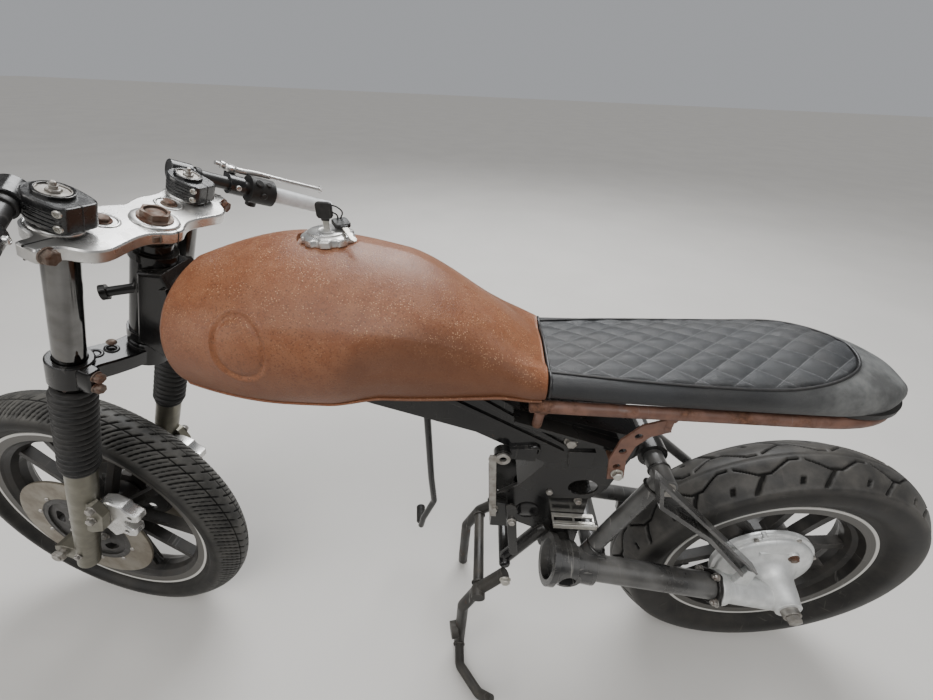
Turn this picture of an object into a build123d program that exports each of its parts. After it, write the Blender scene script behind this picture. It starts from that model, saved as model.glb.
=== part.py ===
from build123d import *
from math import cos, radians, sin
import os

# Cafe racer motorcycle as a rolling chassis without its engine, standing on its centre stand.
# Millimetres. X points forwards, Y to the rider's left and Z up. The floor is Z = 0, and the
# origin lies on the floor below the middle of the machine.

# Driving dimensions of the wheels
rear_axle_x = -750
rear_axle_z = 323
front_tyre_r = 328
front_tyre_w = 98
front_rim_r = 254
rear_tyre_r = 319
rear_tyre_w = 130
rear_rim_r = 217

# Driving dimensions of the steering: the axis leans back by the rake, and the fork is turned a
# little to the rider's right, as the machine was parked
rake = 24.0
parked_turn = -7.7
steer_base_x = 687.2
steer_base_z = 299.3
leg_forward = 33
leg_side = 99
axle_forward = 70

# Heights along the steering axis, from the level of the front axle
slider_bottom = -38
slider_top = 312
gaiter_top = 522
lower_clamp_bottom = 535
lower_clamp_top = 580
head_bottom = 586
head_top = 742
upper_clamp_bottom = 770
upper_clamp_top = 790

# Frame, swingarm and stand
head_r = 27
beam_half = 45
swing_pivot_x = -288
swing_pivot_z = 390
shaft_y = 98
shaft_r = 26
apex_x = -425
apex_z = 625
apex_half = 64
stand_pivot_x = -173
stand_pivot_z = 322

os.makedirs("parts", exist_ok=True)

# Places: the steering axis and both axles. Pieces that turn are drawn about their own Z axis
# and then put in place.
steer_up = Vector(-sin(radians(rake)), 0, cos(radians(rake)))
steer_ahead = Vector(cos(radians(rake)), 0, sin(radians(rake)))
head_place = Plane(origin=(steer_base_x, 0, steer_base_z), x_dir=steer_ahead, z_dir=steer_up)
turned_ahead = steer_ahead * cos(radians(parked_turn)) + Vector(0, sin(radians(parked_turn)), 0)
steering = Plane(origin=head_place.origin, x_dir=turned_ahead, z_dir=steer_up)
front_axle_centre = steering.from_local_coords(Vector(axle_forward, 0, 0))
front_axle_place = Plane(origin=front_axle_centre, x_dir=steering.x_dir, z_dir=steering.y_dir)
rear_axle_place = Plane(origin=(rear_axle_x, 0, rear_axle_z), x_dir=(1, 0, 0), z_dir=(0, 1, 0))
legs = [(leg_forward, leg_side), (leg_forward, -leg_side)]


def rod(start, end, radius, mode=Mode.ADD):
    """Round bar from one point to another, joined to the part being built or cut from it."""
    run = Vector(*end) - Vector(*start)
    with BuildSketch(Plane(origin=start, z_dir=run)) as section:
        Circle(radius)
    extrude(section.sketch, amount=run.length, mode=mode)


def bent_tube(points, bend, radius):
    """Round tube through the points with rounded corners, joined to the part being built."""
    with BuildLine() as path:
        FilletPolyline(*points, radius=bend)
    with BuildSketch(Plane(origin=path.line @ 0, z_dir=path.line % 0)) as section:
        Circle(radius)
    sweep(section.sketch, path=path.line)


def side_plate(outline, y_low, y_high, mode=Mode.ADD):
    """Flat plate that stands along the machine, from its outline as (x, z) points."""
    with BuildSketch(Plane.XZ.offset(-max(y_low, y_high))) as section:
        Polygon(*outline, align=None)
    extrude(section.sketch, amount=abs(y_high - y_low), mode=mode)


def finish(solid, name, place=None):
    """Put a piece in its place, label it and write it."""
    if place:
        solid.move(place.location)
    solid.label = name
    export_step(solid, "parts/" + name + ".step")


# Wheels

def cast_wheel(rim_r, rim_half, hub_r, hub_low, hub_high, spoke_w):
    """Cast wheel with a channel rim, five pairs of curved spokes and a hub, about the Z axis."""
    axle_bore_r = 10.2
    well_r = rim_r - 34
    with BuildPart() as wheel:
        with BuildSketch(Plane.XZ):
            with BuildLine():
                Polyline(
                    (rim_r, rim_half), (rim_r, rim_half - 5), (rim_r - 14, rim_half - 8),
                    (rim_r - 17, 24), (well_r + 6, 18), (well_r + 6, -18), (rim_r - 17, -24),
                    (rim_r - 14, 8 - rim_half), (rim_r, 5 - rim_half), (rim_r, -rim_half),
                    (rim_r - 22, 2 - rim_half), (rim_r - 26, -26), (well_r, -20),
                    (well_r - 6, -8), (well_r - 6, 8), (well_r, 20), (rim_r - 26, 26),
                    (rim_r - 22, rim_half - 2), close=True)
            make_face()
        revolve(axis=Axis.Z)
        with BuildSketch(Plane.XZ):
            Polygon((axle_bore_r, hub_high), (hub_r - 10, hub_high), (hub_r, hub_high - 8), (hub_r, hub_low + 8),
                    (hub_r - 10, hub_low), (axle_bore_r, hub_low), align=None)
        revolve(axis=Axis.Z)
        for spoke in range(5):
            for lean in (-1, 1):
                foot = radians(72 * spoke + 9 * lean)
                tip = radians(72 * spoke + 21 * lean)
                mid = radians(72 * spoke + 19 * lean)
                reach = well_r - 2
                half_way = (hub_r + reach) / 2
                with BuildSketch(Plane.XY.offset(-11)):
                    with BuildLine():
                        ThreePointArc(
                            ((hub_r - 10) * cos(foot), (hub_r - 10) * sin(foot)),
                            (half_way * cos(mid), half_way * sin(mid)),
                            (reach * cos(tip), reach * sin(tip)))
                    trace(line_width=spoke_w)
                extrude(amount=22)
    return wheel.part


def tyre(outer_r, width, rim_r, rim_half):
    """Closed tyre about the Z axis, round over the tread and narrowing to its beads."""
    half = width / 2
    bead_r = rim_r + 1
    bead_half = rim_half - 1
    shoulder_r = outer_r - 30
    shoulder_half = half - 4
    with BuildPart() as cover:
        with BuildSketch(Plane.XZ):
            with BuildLine():
                Line((bead_r, -bead_half), (bead_r, bead_half))
                ThreePointArc((bead_r, bead_half), ((bead_r + shoulder_r) / 2, half - 1.2), (shoulder_r, shoulder_half))
                ThreePointArc((shoulder_r, shoulder_half), (outer_r, 0), (shoulder_r, -shoulder_half))
                ThreePointArc((shoulder_r, -shoulder_half), ((bead_r + shoulder_r) / 2, 1.2 - half),
                              (bead_r, -bead_half))
            make_face()
        revolve(axis=Axis.Z)
    return cover.part


front_rim_half = 32
rear_rim_half = 44
front_hub_half = 48

# name, place, rim radius, half rim width, hub radius, hub's right and left faces, spoke width,
# tyre radius, tyre width
wheels = [
    ("front", front_axle_place, front_rim_r, front_rim_half, 44, -front_hub_half, front_hub_half, 15,
     front_tyre_r, front_tyre_w),
    ("rear", rear_axle_place, rear_rim_r, rear_rim_half, 84, -46, 12, 17, rear_tyre_r, rear_tyre_w),
]
for name, place, rim_r, rim_half, hub_r, hub_low, hub_high, spoke_w, tyre_r, tyre_w in wheels:
    finish(cast_wheel(rim_r, rim_half, hub_r, hub_low, hub_high, spoke_w), name + "_wheel", place)
    finish(tyre(tyre_r, tyre_w, rim_r, rim_half), name + "_tyre", place)

# Two brake discs on the front hub, each a ring with a slotted carrier
disc_r = 138
disc_inner_r = 88
disc_y = 62
with BuildPart() as front_discs:
    for side in (-1, 1):
        with BuildSketch(Plane.XY.offset(side * disc_y)):
            Circle(disc_r)
            Circle(disc_inner_r, mode=Mode.SUBTRACT)
        extrude(amount=2.5, both=True)
        with BuildSketch(Plane.XY.offset(side * (front_hub_half + 0.2))):
            Circle(disc_inner_r + 6)
            Circle(24, mode=Mode.SUBTRACT)
            with PolarLocations(64, 5):
                SlotCenterToCenter(22, 20, rotation=90, mode=Mode.SUBTRACT)
        extrude(amount=side * 12)
finish(front_discs.part, "front_discs", front_axle_place)

# Front fork and yokes, drawn about the steering axis

fork_tube_r = 18.5
slider_r = 23
gaiter_r = 29
axle_half = leg_side + 34
with BuildPart() as front_axle:
    rod((axle_forward, -axle_half, 0), (axle_forward, axle_half, 0), 9.5)
    for side in (-1, 1):
        with BuildSketch(Plane.XZ.offset(-side * (leg_side + 24))):
            with Locations((axle_forward, 0)):
                RegularPolygon(14, 6)
        extrude(amount=-side * 7)
finish(front_axle.part, "front_axle", steering)

lug_y = 97
for name, side in (("left", 1), ("right", -1)):
    leg = (leg_forward, side * leg_side)
    with BuildPart() as slider:
        with BuildSketch(Plane.XY.offset(slider_bottom)):
            with Locations(leg):
                Circle(slider_r - 3)
        with BuildSketch(Plane.XY.offset(slider_top - 70)):
            with Locations(leg):
                Circle(slider_r)
        loft()
        with BuildSketch(Plane.XY.offset(slider_top - 70)):
            with Locations(leg):
                Circle(slider_r)
        extrude(amount=70)
        # Axle clamp standing forward of the leg
        side_plate([(axle_forward - 34, -17), (axle_forward + 6, -19), (axle_forward + 19, -6),
                    (axle_forward + 19, 8), (axle_forward + 6, 20), (axle_forward - 34, 34)],
                   side * leg_side - 17, side * leg_side + 17)
        # Cast lug behind the leg, on whose inner face the caliper bracket sits
        side_plate([(leg_forward, 125), (5, 128), (-16, 150), (-16, 200), (5, 222), (leg_forward, 230)],
                   side * lug_y, side * (lug_y + 16))
        rod((axle_forward, side * leg_side - 40, 0), (axle_forward, side * leg_side + 40, 0), 9.55,
            mode=Mode.SUBTRACT)
        # Bore for the sliding tube
        with BuildSketch(Plane.XY.offset(slider_top - 60)):
            with Locations(leg):
                Circle(fork_tube_r + 0.1)
        extrude(amount=60, mode=Mode.SUBTRACT)
    finish(slider.part, "slider_" + name, steering)

# Cast brackets on the lugs, each with two holes for the brake caliper
caliper_holes = [(-50, 148), (-54, 200)]
bracket_y = 72
with BuildPart() as caliper_brackets:
    for side in (-1, 1):
        side_plate([(-4, 118), (-34, 106), (-62, 138), (-70, 207), (-40, 236), (-8, 214)],
                   side * bracket_y, side * (lug_y - 0.3))
        for hole_x, hole_z in caliper_holes:
            rod((hole_x, side * (bracket_y - 5), hole_z), (hole_x, side * (lug_y + 5), hole_z), 5,
                mode=Mode.SUBTRACT)
finish(caliper_brackets.part, "caliper_brackets", steering)

# side, top of the tube, bottom and top of the clip-on ring
fork_tops = [(1, 833, 797, 829), (-1, 824, 792.5, 820)]
with BuildPart() as fork_tubes:
    for side, tube_top, ring_low, ring_high in fork_tops:
        leg = (leg_forward, side * leg_side)
        with BuildSketch(Plane.XY.offset(slider_top - 59)):
            with Locations(leg):
                Circle(fork_tube_r)
        extrude(amount=tube_top - slider_top + 59)
        with BuildSketch(Plane.XY.offset(tube_top - 6)):
            with Locations(leg):
                Circle(15.5)
        extrude(amount=6, mode=Mode.SUBTRACT)
finish(fork_tubes.part, "fork_tubes", steering)

with BuildPart() as fork_caps:
    for side, tube_top, ring_low, ring_high in fork_tops:
        foot = (leg_forward, side * leg_side, tube_top - 6)
        rod(foot, (foot[0], foot[1], foot[2] + 4), 15.4)
        rod(foot, (foot[0], foot[1], foot[2] + 11), 4)
finish(fork_caps.part, "fork_caps", steering)

fold_count = 14
fold_pitch = (gaiter_top - slider_top - 6) / fold_count
with BuildPart() as fork_gaiters:
    for leg in legs:
        with BuildSketch(Plane.XY.offset(slider_top + 0.5)):
            with Locations(leg):
                Circle(gaiter_r - 4)
                Circle(fork_tube_r + 0.3, mode=Mode.SUBTRACT)
        extrude(amount=gaiter_top - slider_top - 0.5)
        for fold in range(fold_count):
            with BuildSketch(Plane.XY.offset(slider_top + 4 + fold * fold_pitch)):
                with Locations(leg):
                    Circle(gaiter_r)
                    Circle(fork_tube_r + 2, mode=Mode.SUBTRACT)
            extrude(amount=7)
finish(fork_gaiters.part, "fork_gaiters", steering)

# Upper clamp: a thin plate with a split ear outside each leg
plate_outline = [(50, 82), (54, 31), (46, 0), (54, -31), (50, -82), (8, -126), (-24, -112), (-24, -72),
                 (-19, -40), (-19, 40), (-24, 72), (-24, 112), (8, 126)]
ear_x = 13
with BuildPart() as upper_clamp:
    with BuildSketch(Plane.XY.offset(upper_clamp_bottom)):
        Polygon(*plate_outline, align=None)
        Circle(27)
        with Locations(*legs):
            Circle(28)
        with Locations((ear_x, leg_side + 37), (ear_x, -leg_side - 37)):
            Rectangle(24, 32)
    extrude(amount=upper_clamp_top - upper_clamp_bottom)
    with BuildSketch(Plane.XY.offset(upper_clamp_top)):
        with Locations(*legs):
            Circle(25)
        Circle(23)
    extrude(amount=2)
    with BuildSketch(Plane.XY.offset(upper_clamp_bottom)):
        with Locations(*legs):
            Circle(fork_tube_r + 0.1)
        Circle(13.1)
        with Locations((ear_x + 2, leg_side + 34), (ear_x + 2, -leg_side - 34)):
            Rectangle(3, 50)
        with Locations((-24, 0)):
            Rectangle(24, 3)
    extrude(amount=upper_clamp_top + 2 - upper_clamp_bottom, mode=Mode.SUBTRACT)
finish(upper_clamp.part, "upper_clamp", steering)

with BuildPart() as lower_clamp:
    with BuildSketch(Plane.XY.offset(lower_clamp_bottom)):
        with Locations(*legs):
            Circle(27)
        Circle(28)
        with Locations((leg_forward / 2 + 4, 0)):
            Rectangle(38, 2 * leg_side)
        with Locations((leg_forward - 30, leg_side + 4), (leg_forward - 30, -leg_side - 4)):
            Rectangle(22, 20)
    extrude(amount=lower_clamp_top - lower_clamp_bottom)
    with BuildSketch(Plane.XY.offset(lower_clamp_bottom)):
        with Locations(*legs):
            Circle(fork_tube_r + 0.1)
    extrude(amount=lower_clamp_top - lower_clamp_bottom, mode=Mode.SUBTRACT)
    rod((0, 0, lower_clamp_top), (0, 0, upper_clamp_top + 5), 13)
finish(lower_clamp.part, "lower_clamp", steering)

with BuildPart() as stem_nut:
    with BuildSketch(Plane.XY.offset(upper_clamp_top + 2)):
        Circle(21)
        Circle(13.2, mode=Mode.SUBTRACT)
    extrude(amount=2)
    with BuildSketch(Plane.XY.offset(upper_clamp_top + 4)):
        RegularPolygon(18, 6)
        Circle(13.2, mode=Mode.SUBTRACT)
    extrude(amount=9)
finish(stem_nut.part, "stem_nut", steering)

# Handlebars: each bar leaves its clip-on ahead of the leg and sweeps back and down
bar_r = 11
bar_ends = {1: 250, -1: 270}
bar_lift = {1: 815, -1: 809.5}


def bar_point(side, along, forward=0, up=0):
    """Point beside a handlebar: distance from its inner end, then forward and up of its axis."""
    return (61.7 - 0.571 * along + 0.819 * forward, side * (119.1 + 0.815 * along + 0.574 * forward),
            bar_lift[side] - 0.101 * along + up)


def bar_sleeve(side, start, end, radius):
    """Sleeve round a handlebar between two distances along it, joined to the part being built."""
    rod(bar_point(side, start), bar_point(side, end), radius)
    rod(bar_point(side, start - 1), bar_point(side, end + 1), bar_r + 0.1, mode=Mode.SUBTRACT)


with BuildPart() as handlebars:
    for side in (-1, 1):
        rod(bar_point(side, -15), bar_point(side, bar_ends[side]), bar_r)
finish(handlebars.part, "handlebars", steering)

ring_r = 25
groove_r = 23.5
for name, side, ring_low, ring_high in (("left", 1, 797, 829), ("right", -1, 792.5, 820)):
    leg = (leg_forward, side * leg_side)
    with BuildPart() as clip_on:
        with BuildSketch(Plane.XY.offset(ring_low)):
            with Locations(leg):
                Circle(ring_r)
            with Locations((leg_forward - 27, side * leg_side)):
                Rectangle(22, 27)
        extrude(amount=ring_high - ring_low)
        # Grooves round the ring
        for groove_z in (ring_low + 7, ring_low + 13, ring_low + 19):
            with BuildSketch(Plane.XY.offset(groove_z)):
                with Locations(leg):
                    Circle(ring_r + 1)
                    Circle(groove_r, mode=Mode.SUBTRACT)
                with Locations((leg_forward - 27, side * leg_side)):
                    Rectangle(30, 27, mode=Mode.SUBTRACT)
            extrude(amount=2, mode=Mode.SUBTRACT)
        rod(bar_point(side, -16), bar_point(side, 16), 16)
        with BuildSketch(Plane.XY.offset(ring_low - 30)):
            with Locations(leg):
                Circle(fork_tube_r + 0.1)
            with Locations((leg_forward - 30, side * leg_side)):
                Rectangle(36, 3)
        extrude(amount=90, mode=Mode.SUBTRACT)
        rod(bar_point(side, -17), bar_point(side, 18), bar_r + 0.1, mode=Mode.SUBTRACT)
    finish(clip_on.part, "clip_on_" + name, steering)

with BuildPart() as throttle_tube:
    bar_sleeve(-1, 148, 272, 14)
finish(throttle_tube.part, "throttle_tube", steering)

with BuildPart() as grip_left:
    bar_sleeve(1, 132, 252, 16)
    bar_sleeve(1, 130, 134, 21)
finish(grip_left.part, "grip_left", steering)

with BuildPart() as switch_right:
    bar_sleeve(-1, 104, 146, 23)
    rod(bar_point(-1, 118, 10, -18), bar_point(-1, 118, 10, -34), 9)
finish(switch_right.part, "switch_right", steering)

# Lever perches and levers: the right lever is turned up, as in its loosened clamp
# side, pivot forward and up of the bar, tip's distance along it, tip forward and up of the bar
lever_table = [(-1, 25, 18, 250, 14, 28), (1, 32, 6, 222, 48, 12)]
perch_at = 82
with BuildPart() as lever_perches:
    for side, pivot_forward, pivot_up, tip_along, tip_forward, tip_up in lever_table:
        bar_sleeve(side, perch_at - 12, perch_at + 12, 16.5)
        arm_start = bar_point(side, perch_at, 0.3 * pivot_forward, 0.3 * pivot_up - 9)
        arm_end = bar_point(side, perch_at, pivot_forward, pivot_up - 14)
        rod(arm_start, arm_end, 7.5)
        rod(bar_point(side, perch_at, pivot_forward, pivot_up - 21),
            bar_point(side, perch_at, pivot_forward, pivot_up - 6.5), 9)
        rod(bar_point(side, perch_at - 13), bar_point(side, perch_at + 13), bar_r + 0.1, mode=Mode.SUBTRACT)
finish(lever_perches.part, "lever_perches", steering)

with BuildPart() as levers:
    for side, pivot_forward, pivot_up, tip_along, tip_forward, tip_up in lever_table:
        pivot = bar_point(side, perch_at, pivot_forward, pivot_up)
        tip = bar_point(side, tip_along, tip_forward, tip_up)
        rod(bar_point(side, perch_at, pivot_forward, pivot_up - 5),
            bar_point(side, perch_at, pivot_forward, pivot_up + 5), 9)
        bent_tube([pivot, bar_point(side, 120, tip_forward + 6, (pivot_up + tip_up) / 2), tip], 20, 5)
        with Locations(tip):
            Sphere(8)
finish(levers.part, "levers", steering)

# Frame

# Steering head with its bearing rings, gusset, rib and steering lock
with BuildPart() as steering_head:
    with BuildSketch(Plane.XY.offset(head_bottom)):
        Circle(head_r)
    extrude(amount=head_top - head_bottom)
    with BuildSketch(Plane.XY.offset(head_bottom)):
        Circle(head_r + 3)
    extrude(amount=14)
    rod((0, 0, head_top - 10), (0, 0, head_top + 2), head_r + 3)
    rod((0, 0, head_top), (0, 0, head_top + 16), 23)
    rod((10, 20, 680), (36, 36, 668), 7)
    rod((36, 36, 668), (42.5, 40, 665), 11)
head_tube = steering_head.part
head_tube.move(head_place.location)
with BuildPart() as gusset:
    side_plate([(440, 842), (394, 957), (359, 955), (352, 928), (250, 905), (250, 800), (408, 808)], -38, 38)
    fillet(gusset.edges().filter_by(lambda edge: edge.center().X > 330 and abs(edge.center().Y) > 30), 6)
    side_plate([(380, 818), (366, 935), (356, 935), (366, 818)], 38, 44)
head = head_tube + gusset.part
with BuildPart() as head_bore:
    rod((0, 0, head_bottom - 40), (0, 0, head_top + 40), 19)
head_bore.part.move(head_place.location)
head = head - head_bore.part
finish(head, "steering_head")

# Box-section backbone, with ribs and a tray plate under the seat's nose
ribs = [((-20, 779), (-246, 658)), ((-60, 790), (-256, 667))]
engine_lug = (-141, 651)
with BuildPart() as backbone:
    side_plate([(250, 905), (60, 835), (-90, 790), (-161, 750), (-372, 700), (-372, 660), (-345, 560), (-320, 530),
                (-234, 525), (-178, 555), (-222, 625), (-91, 694), (80, 745), (250, 800)], -beam_half, beam_half)
    side_plate([(-150, 752), (-335, 697), (-335, 691), (-150, 746)], -75, 75)
    for side in (-1, 1):
        side_plate([(-255, 662), (-303, 664), (-303, 625), (-262, 622)], side * beam_half, side * 50)
        side_plate([(engine_lug[0], 661), (-200, 670), (-200, 636), (engine_lug[0], 641)], side * beam_half,
                   side * 53)
        rod((engine_lug[0], side * beam_half, engine_lug[1]), (engine_lug[0], side * 60, engine_lug[1]), 16)
        for start, end in ribs:
            with BuildSketch(Plane.XZ.offset(-side * (beam_half + 2))):
                with BuildLine():
                    Line(start, end)
                trace(line_width=8)
            extrude(amount=2, both=True)
    # The rear box is hollow and open behind, where the shock absorber enters it
    side_plate([(-380, 536), (-380, 692), (-200, 730), (-190, 660), (-226, 628), (-222, 536)], 4 - beam_half,
               beam_half - 4, mode=Mode.SUBTRACT)
    with BuildSketch(Plane.XZ.offset(-60)):
        with Locations((-301, 562)):
            Ellipse(28, 22)
        with Locations(engine_lug):
            Circle(6)
    extrude(amount=120, mode=Mode.SUBTRACT)
finish(backbone.part, "backbone")

# Pivot plates hang from the backbone and carry the swingarm and the stand
plate_y = 34
plate_t = 8
arm_tip = (-136, 492)
with BuildPart() as lower_frame:
    for side in (-1, 1):
        side_plate([(-320, 530), (-234, 525), (-178, 555), (-128, 499), (-135, 434), (-205, 446), (-160, 345),
                    (-150, 310), (-190, 300), (-262, 340), (-320, 378)], side * plate_y,
                   side * (plate_y + plate_t))
        side_plate([(-265, 474), (-297, 474), (-297, 445), (-265, 445)], side * (plate_y + plate_t), side * 60)
    rod((arm_tip[0], -60, arm_tip[1]), (arm_tip[0], 60, arm_tip[1]), 9)
    rod((stand_pivot_x, -71, stand_pivot_z), (stand_pivot_x, 71, stand_pivot_z), 12)
    rod((swing_pivot_x, -69.8, swing_pivot_z), (swing_pivot_x, 69.8, swing_pivot_z), 18)
    rod((swing_pivot_x, -72, swing_pivot_z), (swing_pivot_x, 72, swing_pivot_z), 12, mode=Mode.SUBTRACT)
finish(lower_frame.part, "lower_frame")

with BuildPart() as engine_strap:
    side_plate([(-133, 658), (-118, 656), (-131, 484), (-147, 484)], 60.2, 64.2)
finish(engine_strap.part, "engine_strap")

# Slotted bracket and flat bar on the left of the frame
plate_out = plate_y + plate_t + 0.2
with BuildPart() as frame_brackets:
    with BuildSketch(Plane.XZ.offset(-60)):
        with BuildLine():
            Line((-252, 528), (-338, 486))
        trace(line_width=24)
        with Locations((-276, 516)):
            SlotOverall(34, 9, rotation=26, mode=Mode.SUBTRACT)
        with Locations((-314, 498)):
            SlotOverall(28, 9, rotation=26, mode=Mode.SUBTRACT)
    extrude(amount=4)
    rod((-295, plate_out, 507), (-295, 57, 507), 7)
    with BuildSketch(Plane.XZ.offset(-82)):
        with BuildLine():
            Line((-165, 542), (-184, 386))
        trace(line_width=16)
    extrude(amount=4)
    rod((-170, plate_out, 500), (-170, 79, 500), 6)
finish(frame_brackets.part, "frame_brackets")

cap_x = 127
cap_z = 1003

# Fuel tank: sections across the machine, each a flat floor, two bulged sides and a crown
tank_sections = [
    # x, floor z, floor half width, widest half width, widest z, shoulder half width, shoulder z, top z
    (352, 850, 60, 74, 880, 50, 925, 940),
    (320, 822, 105, 125, 870, 80, 950, 972),
    (170, 814, 128, 152, 880, 90, 985, 1010),
    (30, 815, 125, 146, 875, 80, 968, 994),
    (-100, 815, 112, 122, 855, 62, 905, 920),
    (-185, 818, 98, 102, 832, 55, 848, 856),
]
with BuildPart() as fuel_tank:
    for x, floor_z, floor_w, side_w, side_z, shoulder_w, shoulder_z, top_z in tank_sections:
        with BuildSketch(Plane.YZ.offset(x)):
            with BuildLine():
                Line((-floor_w, floor_z), (floor_w, floor_z))
                ThreePointArc((floor_w, floor_z), (side_w, side_z), (shoulder_w, shoulder_z))
                ThreePointArc((shoulder_w, shoulder_z), (0, top_z), (-shoulder_w, shoulder_z))
                ThreePointArc((-shoulder_w, shoulder_z), (-side_w, side_z), (-floor_w, floor_z))
            make_face()
    loft()
    # Tunnel over the backbone
    side_plate([(400, 700), (400, 940), (250, 912), (60, 842), (-90, 797), (-161, 757), (-400, 712), (-400, 700)],
               -beam_half - 8, beam_half + 8, mode=Mode.SUBTRACT)
    # Flat seat for the filler cap
    rod((cap_x, 0, cap_z - 0.2), (cap_x, 0, cap_z + 30), 46, mode=Mode.SUBTRACT)
finish(fuel_tank.part, "fuel_tank")

with BuildPart() as filler_cap:
    with BuildSketch(Plane.XY.offset(cap_z)):
        Circle(37)
        with PolarLocations(40, 8):
            Circle(6, mode=Mode.SUBTRACT)
    extrude(amount=14)
    with BuildSketch(Plane.XY.offset(cap_z + 14)):
        Circle(29)
    extrude(amount=4)
filler_cap.part.move(Location((cap_x, 0, 0)))
finish(filler_cap.part, "filler_cap")

# One key upright in the cap's lock and a second one hanging from it
key_z = cap_z + 18.1
with BuildPart() as cap_key:
    side_plate([(127, key_z), (136, key_z), (136, 1031), (142, 1034), (142, 1050), (137, 1054), (126, 1054),
                (121, 1050), (121, 1034), (127, 1031)], -6.5, -3.5)
    rod((123, -5, 1036), (109, 4, 1025), 2)
    rod((105, 8, key_z + 1), (105, 8, key_z + 4), 11)
    rod((102, 14, key_z + 2), (64, 88, 1008), 3)
finish(cap_key.part, "cap_key")

# Seat: a pad on a flat pan, on a tube loop bolted to the frame

loop_half = 92
loop_r = 12
loop_z = 802
pan_z = loop_z + loop_r
pad_z = 822
with BuildPart() as seat_loop:
    bent_tube([(-168, loop_half, loop_z), (-630, loop_half, loop_z), (-705, 66, loop_z), (-734, 0, loop_z),
               (-705, -66, loop_z), (-630, -loop_half, loop_z), (-168, -loop_half, loop_z)], 40, loop_r)
    for side in (-1, 1):
        rod((-186, side * 70, 743), (-186, side * 86, loop_z), 8)
    split(bisect_by=Plane.XY.offset(743), keep=Keep.TOP)
finish(seat_loop.part, "seat_loop")

with BuildPart() as seat_pan:
    with BuildSketch(Plane.XY.offset(pan_z)):
        with BuildLine():
            Polyline((-610, 92), (-196, 88), (-196, -88), (-610, -92))
            ThreePointArc((-610, -92), (-742, 0), (-610, 92))
        make_face()
    extrude(amount=pad_z - pan_z)
finish(seat_pan.part, "seat_pan")

# x, half width of the underside, widest half width and its z, shoulder half width and z, top z
seat_sections = [
    (-190, 96, 100, 836, 68, 848, 856),
    (-290, 100, 104, 838, 76, 852, 861),
    (-400, 102, 106, 841, 83, 857, 867),
    (-500, 103, 107, 843, 85, 863, 875),
    (-590, 103, 107, 844, 84, 869, 885),
    (-660, 92, 95, 842, 70, 863, 877),
    (-715, 62, 64, 837, 46, 849, 858),
    (-740, 36, 37, 831, 27, 837, 842),
    (-752, 16, 17, 827, 12, 831, 834),
]
with BuildPart() as seat_pad:
    for x, base_w, side_w, side_z, shoulder_w, shoulder_z, top_z in seat_sections:
        with BuildSketch(Plane.YZ.offset(x)):
            with BuildLine():
                Line((-base_w, pad_z), (base_w, pad_z))
                ThreePointArc((base_w, pad_z), (side_w, side_z), (shoulder_w, shoulder_z))
                ThreePointArc((shoulder_w, shoulder_z), (0, top_z), (-shoulder_w, shoulder_z))
                ThreePointArc((-shoulder_w, shoulder_z), (-side_w, side_z), (-base_w, pad_z))
            make_face()
    loft(ruled=True)
finish(seat_pad.part, "seat_pad")

# Curved seat brackets with a row of holes, each on a spacer from the beam
bracket_line = [(-328, 650), (-321, 694), (-328, 734), (-349, 762), (-380, 776)]
with BuildPart() as seat_brackets:
    for side in (-1, 1):
        with BuildSketch(Plane.XZ.offset(-side * 90)) as bracket_face:
            with BuildLine():
                Polyline(*bracket_line)
            trace(line_width=27)
            with Locations((-323, 680), (-324, 716), (-340, 750)):
                Circle(6.5, mode=Mode.SUBTRACT)
        extrude(bracket_face.sketch, amount=2, both=True)
        rod((-327, side * (beam_half + 0.2), 664), (-327, side * 89, 664), 6)
        rod((-378, side * 90, 776), (-378, side * 90, loop_z - loop_r - 0.2), 6)
finish(seat_brackets.part, "seat_brackets")

# Swingarm: shaft tube on the left, plain arm on the right, both braced up to the shock

shaft_front = (-335, shaft_y, 384)
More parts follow.
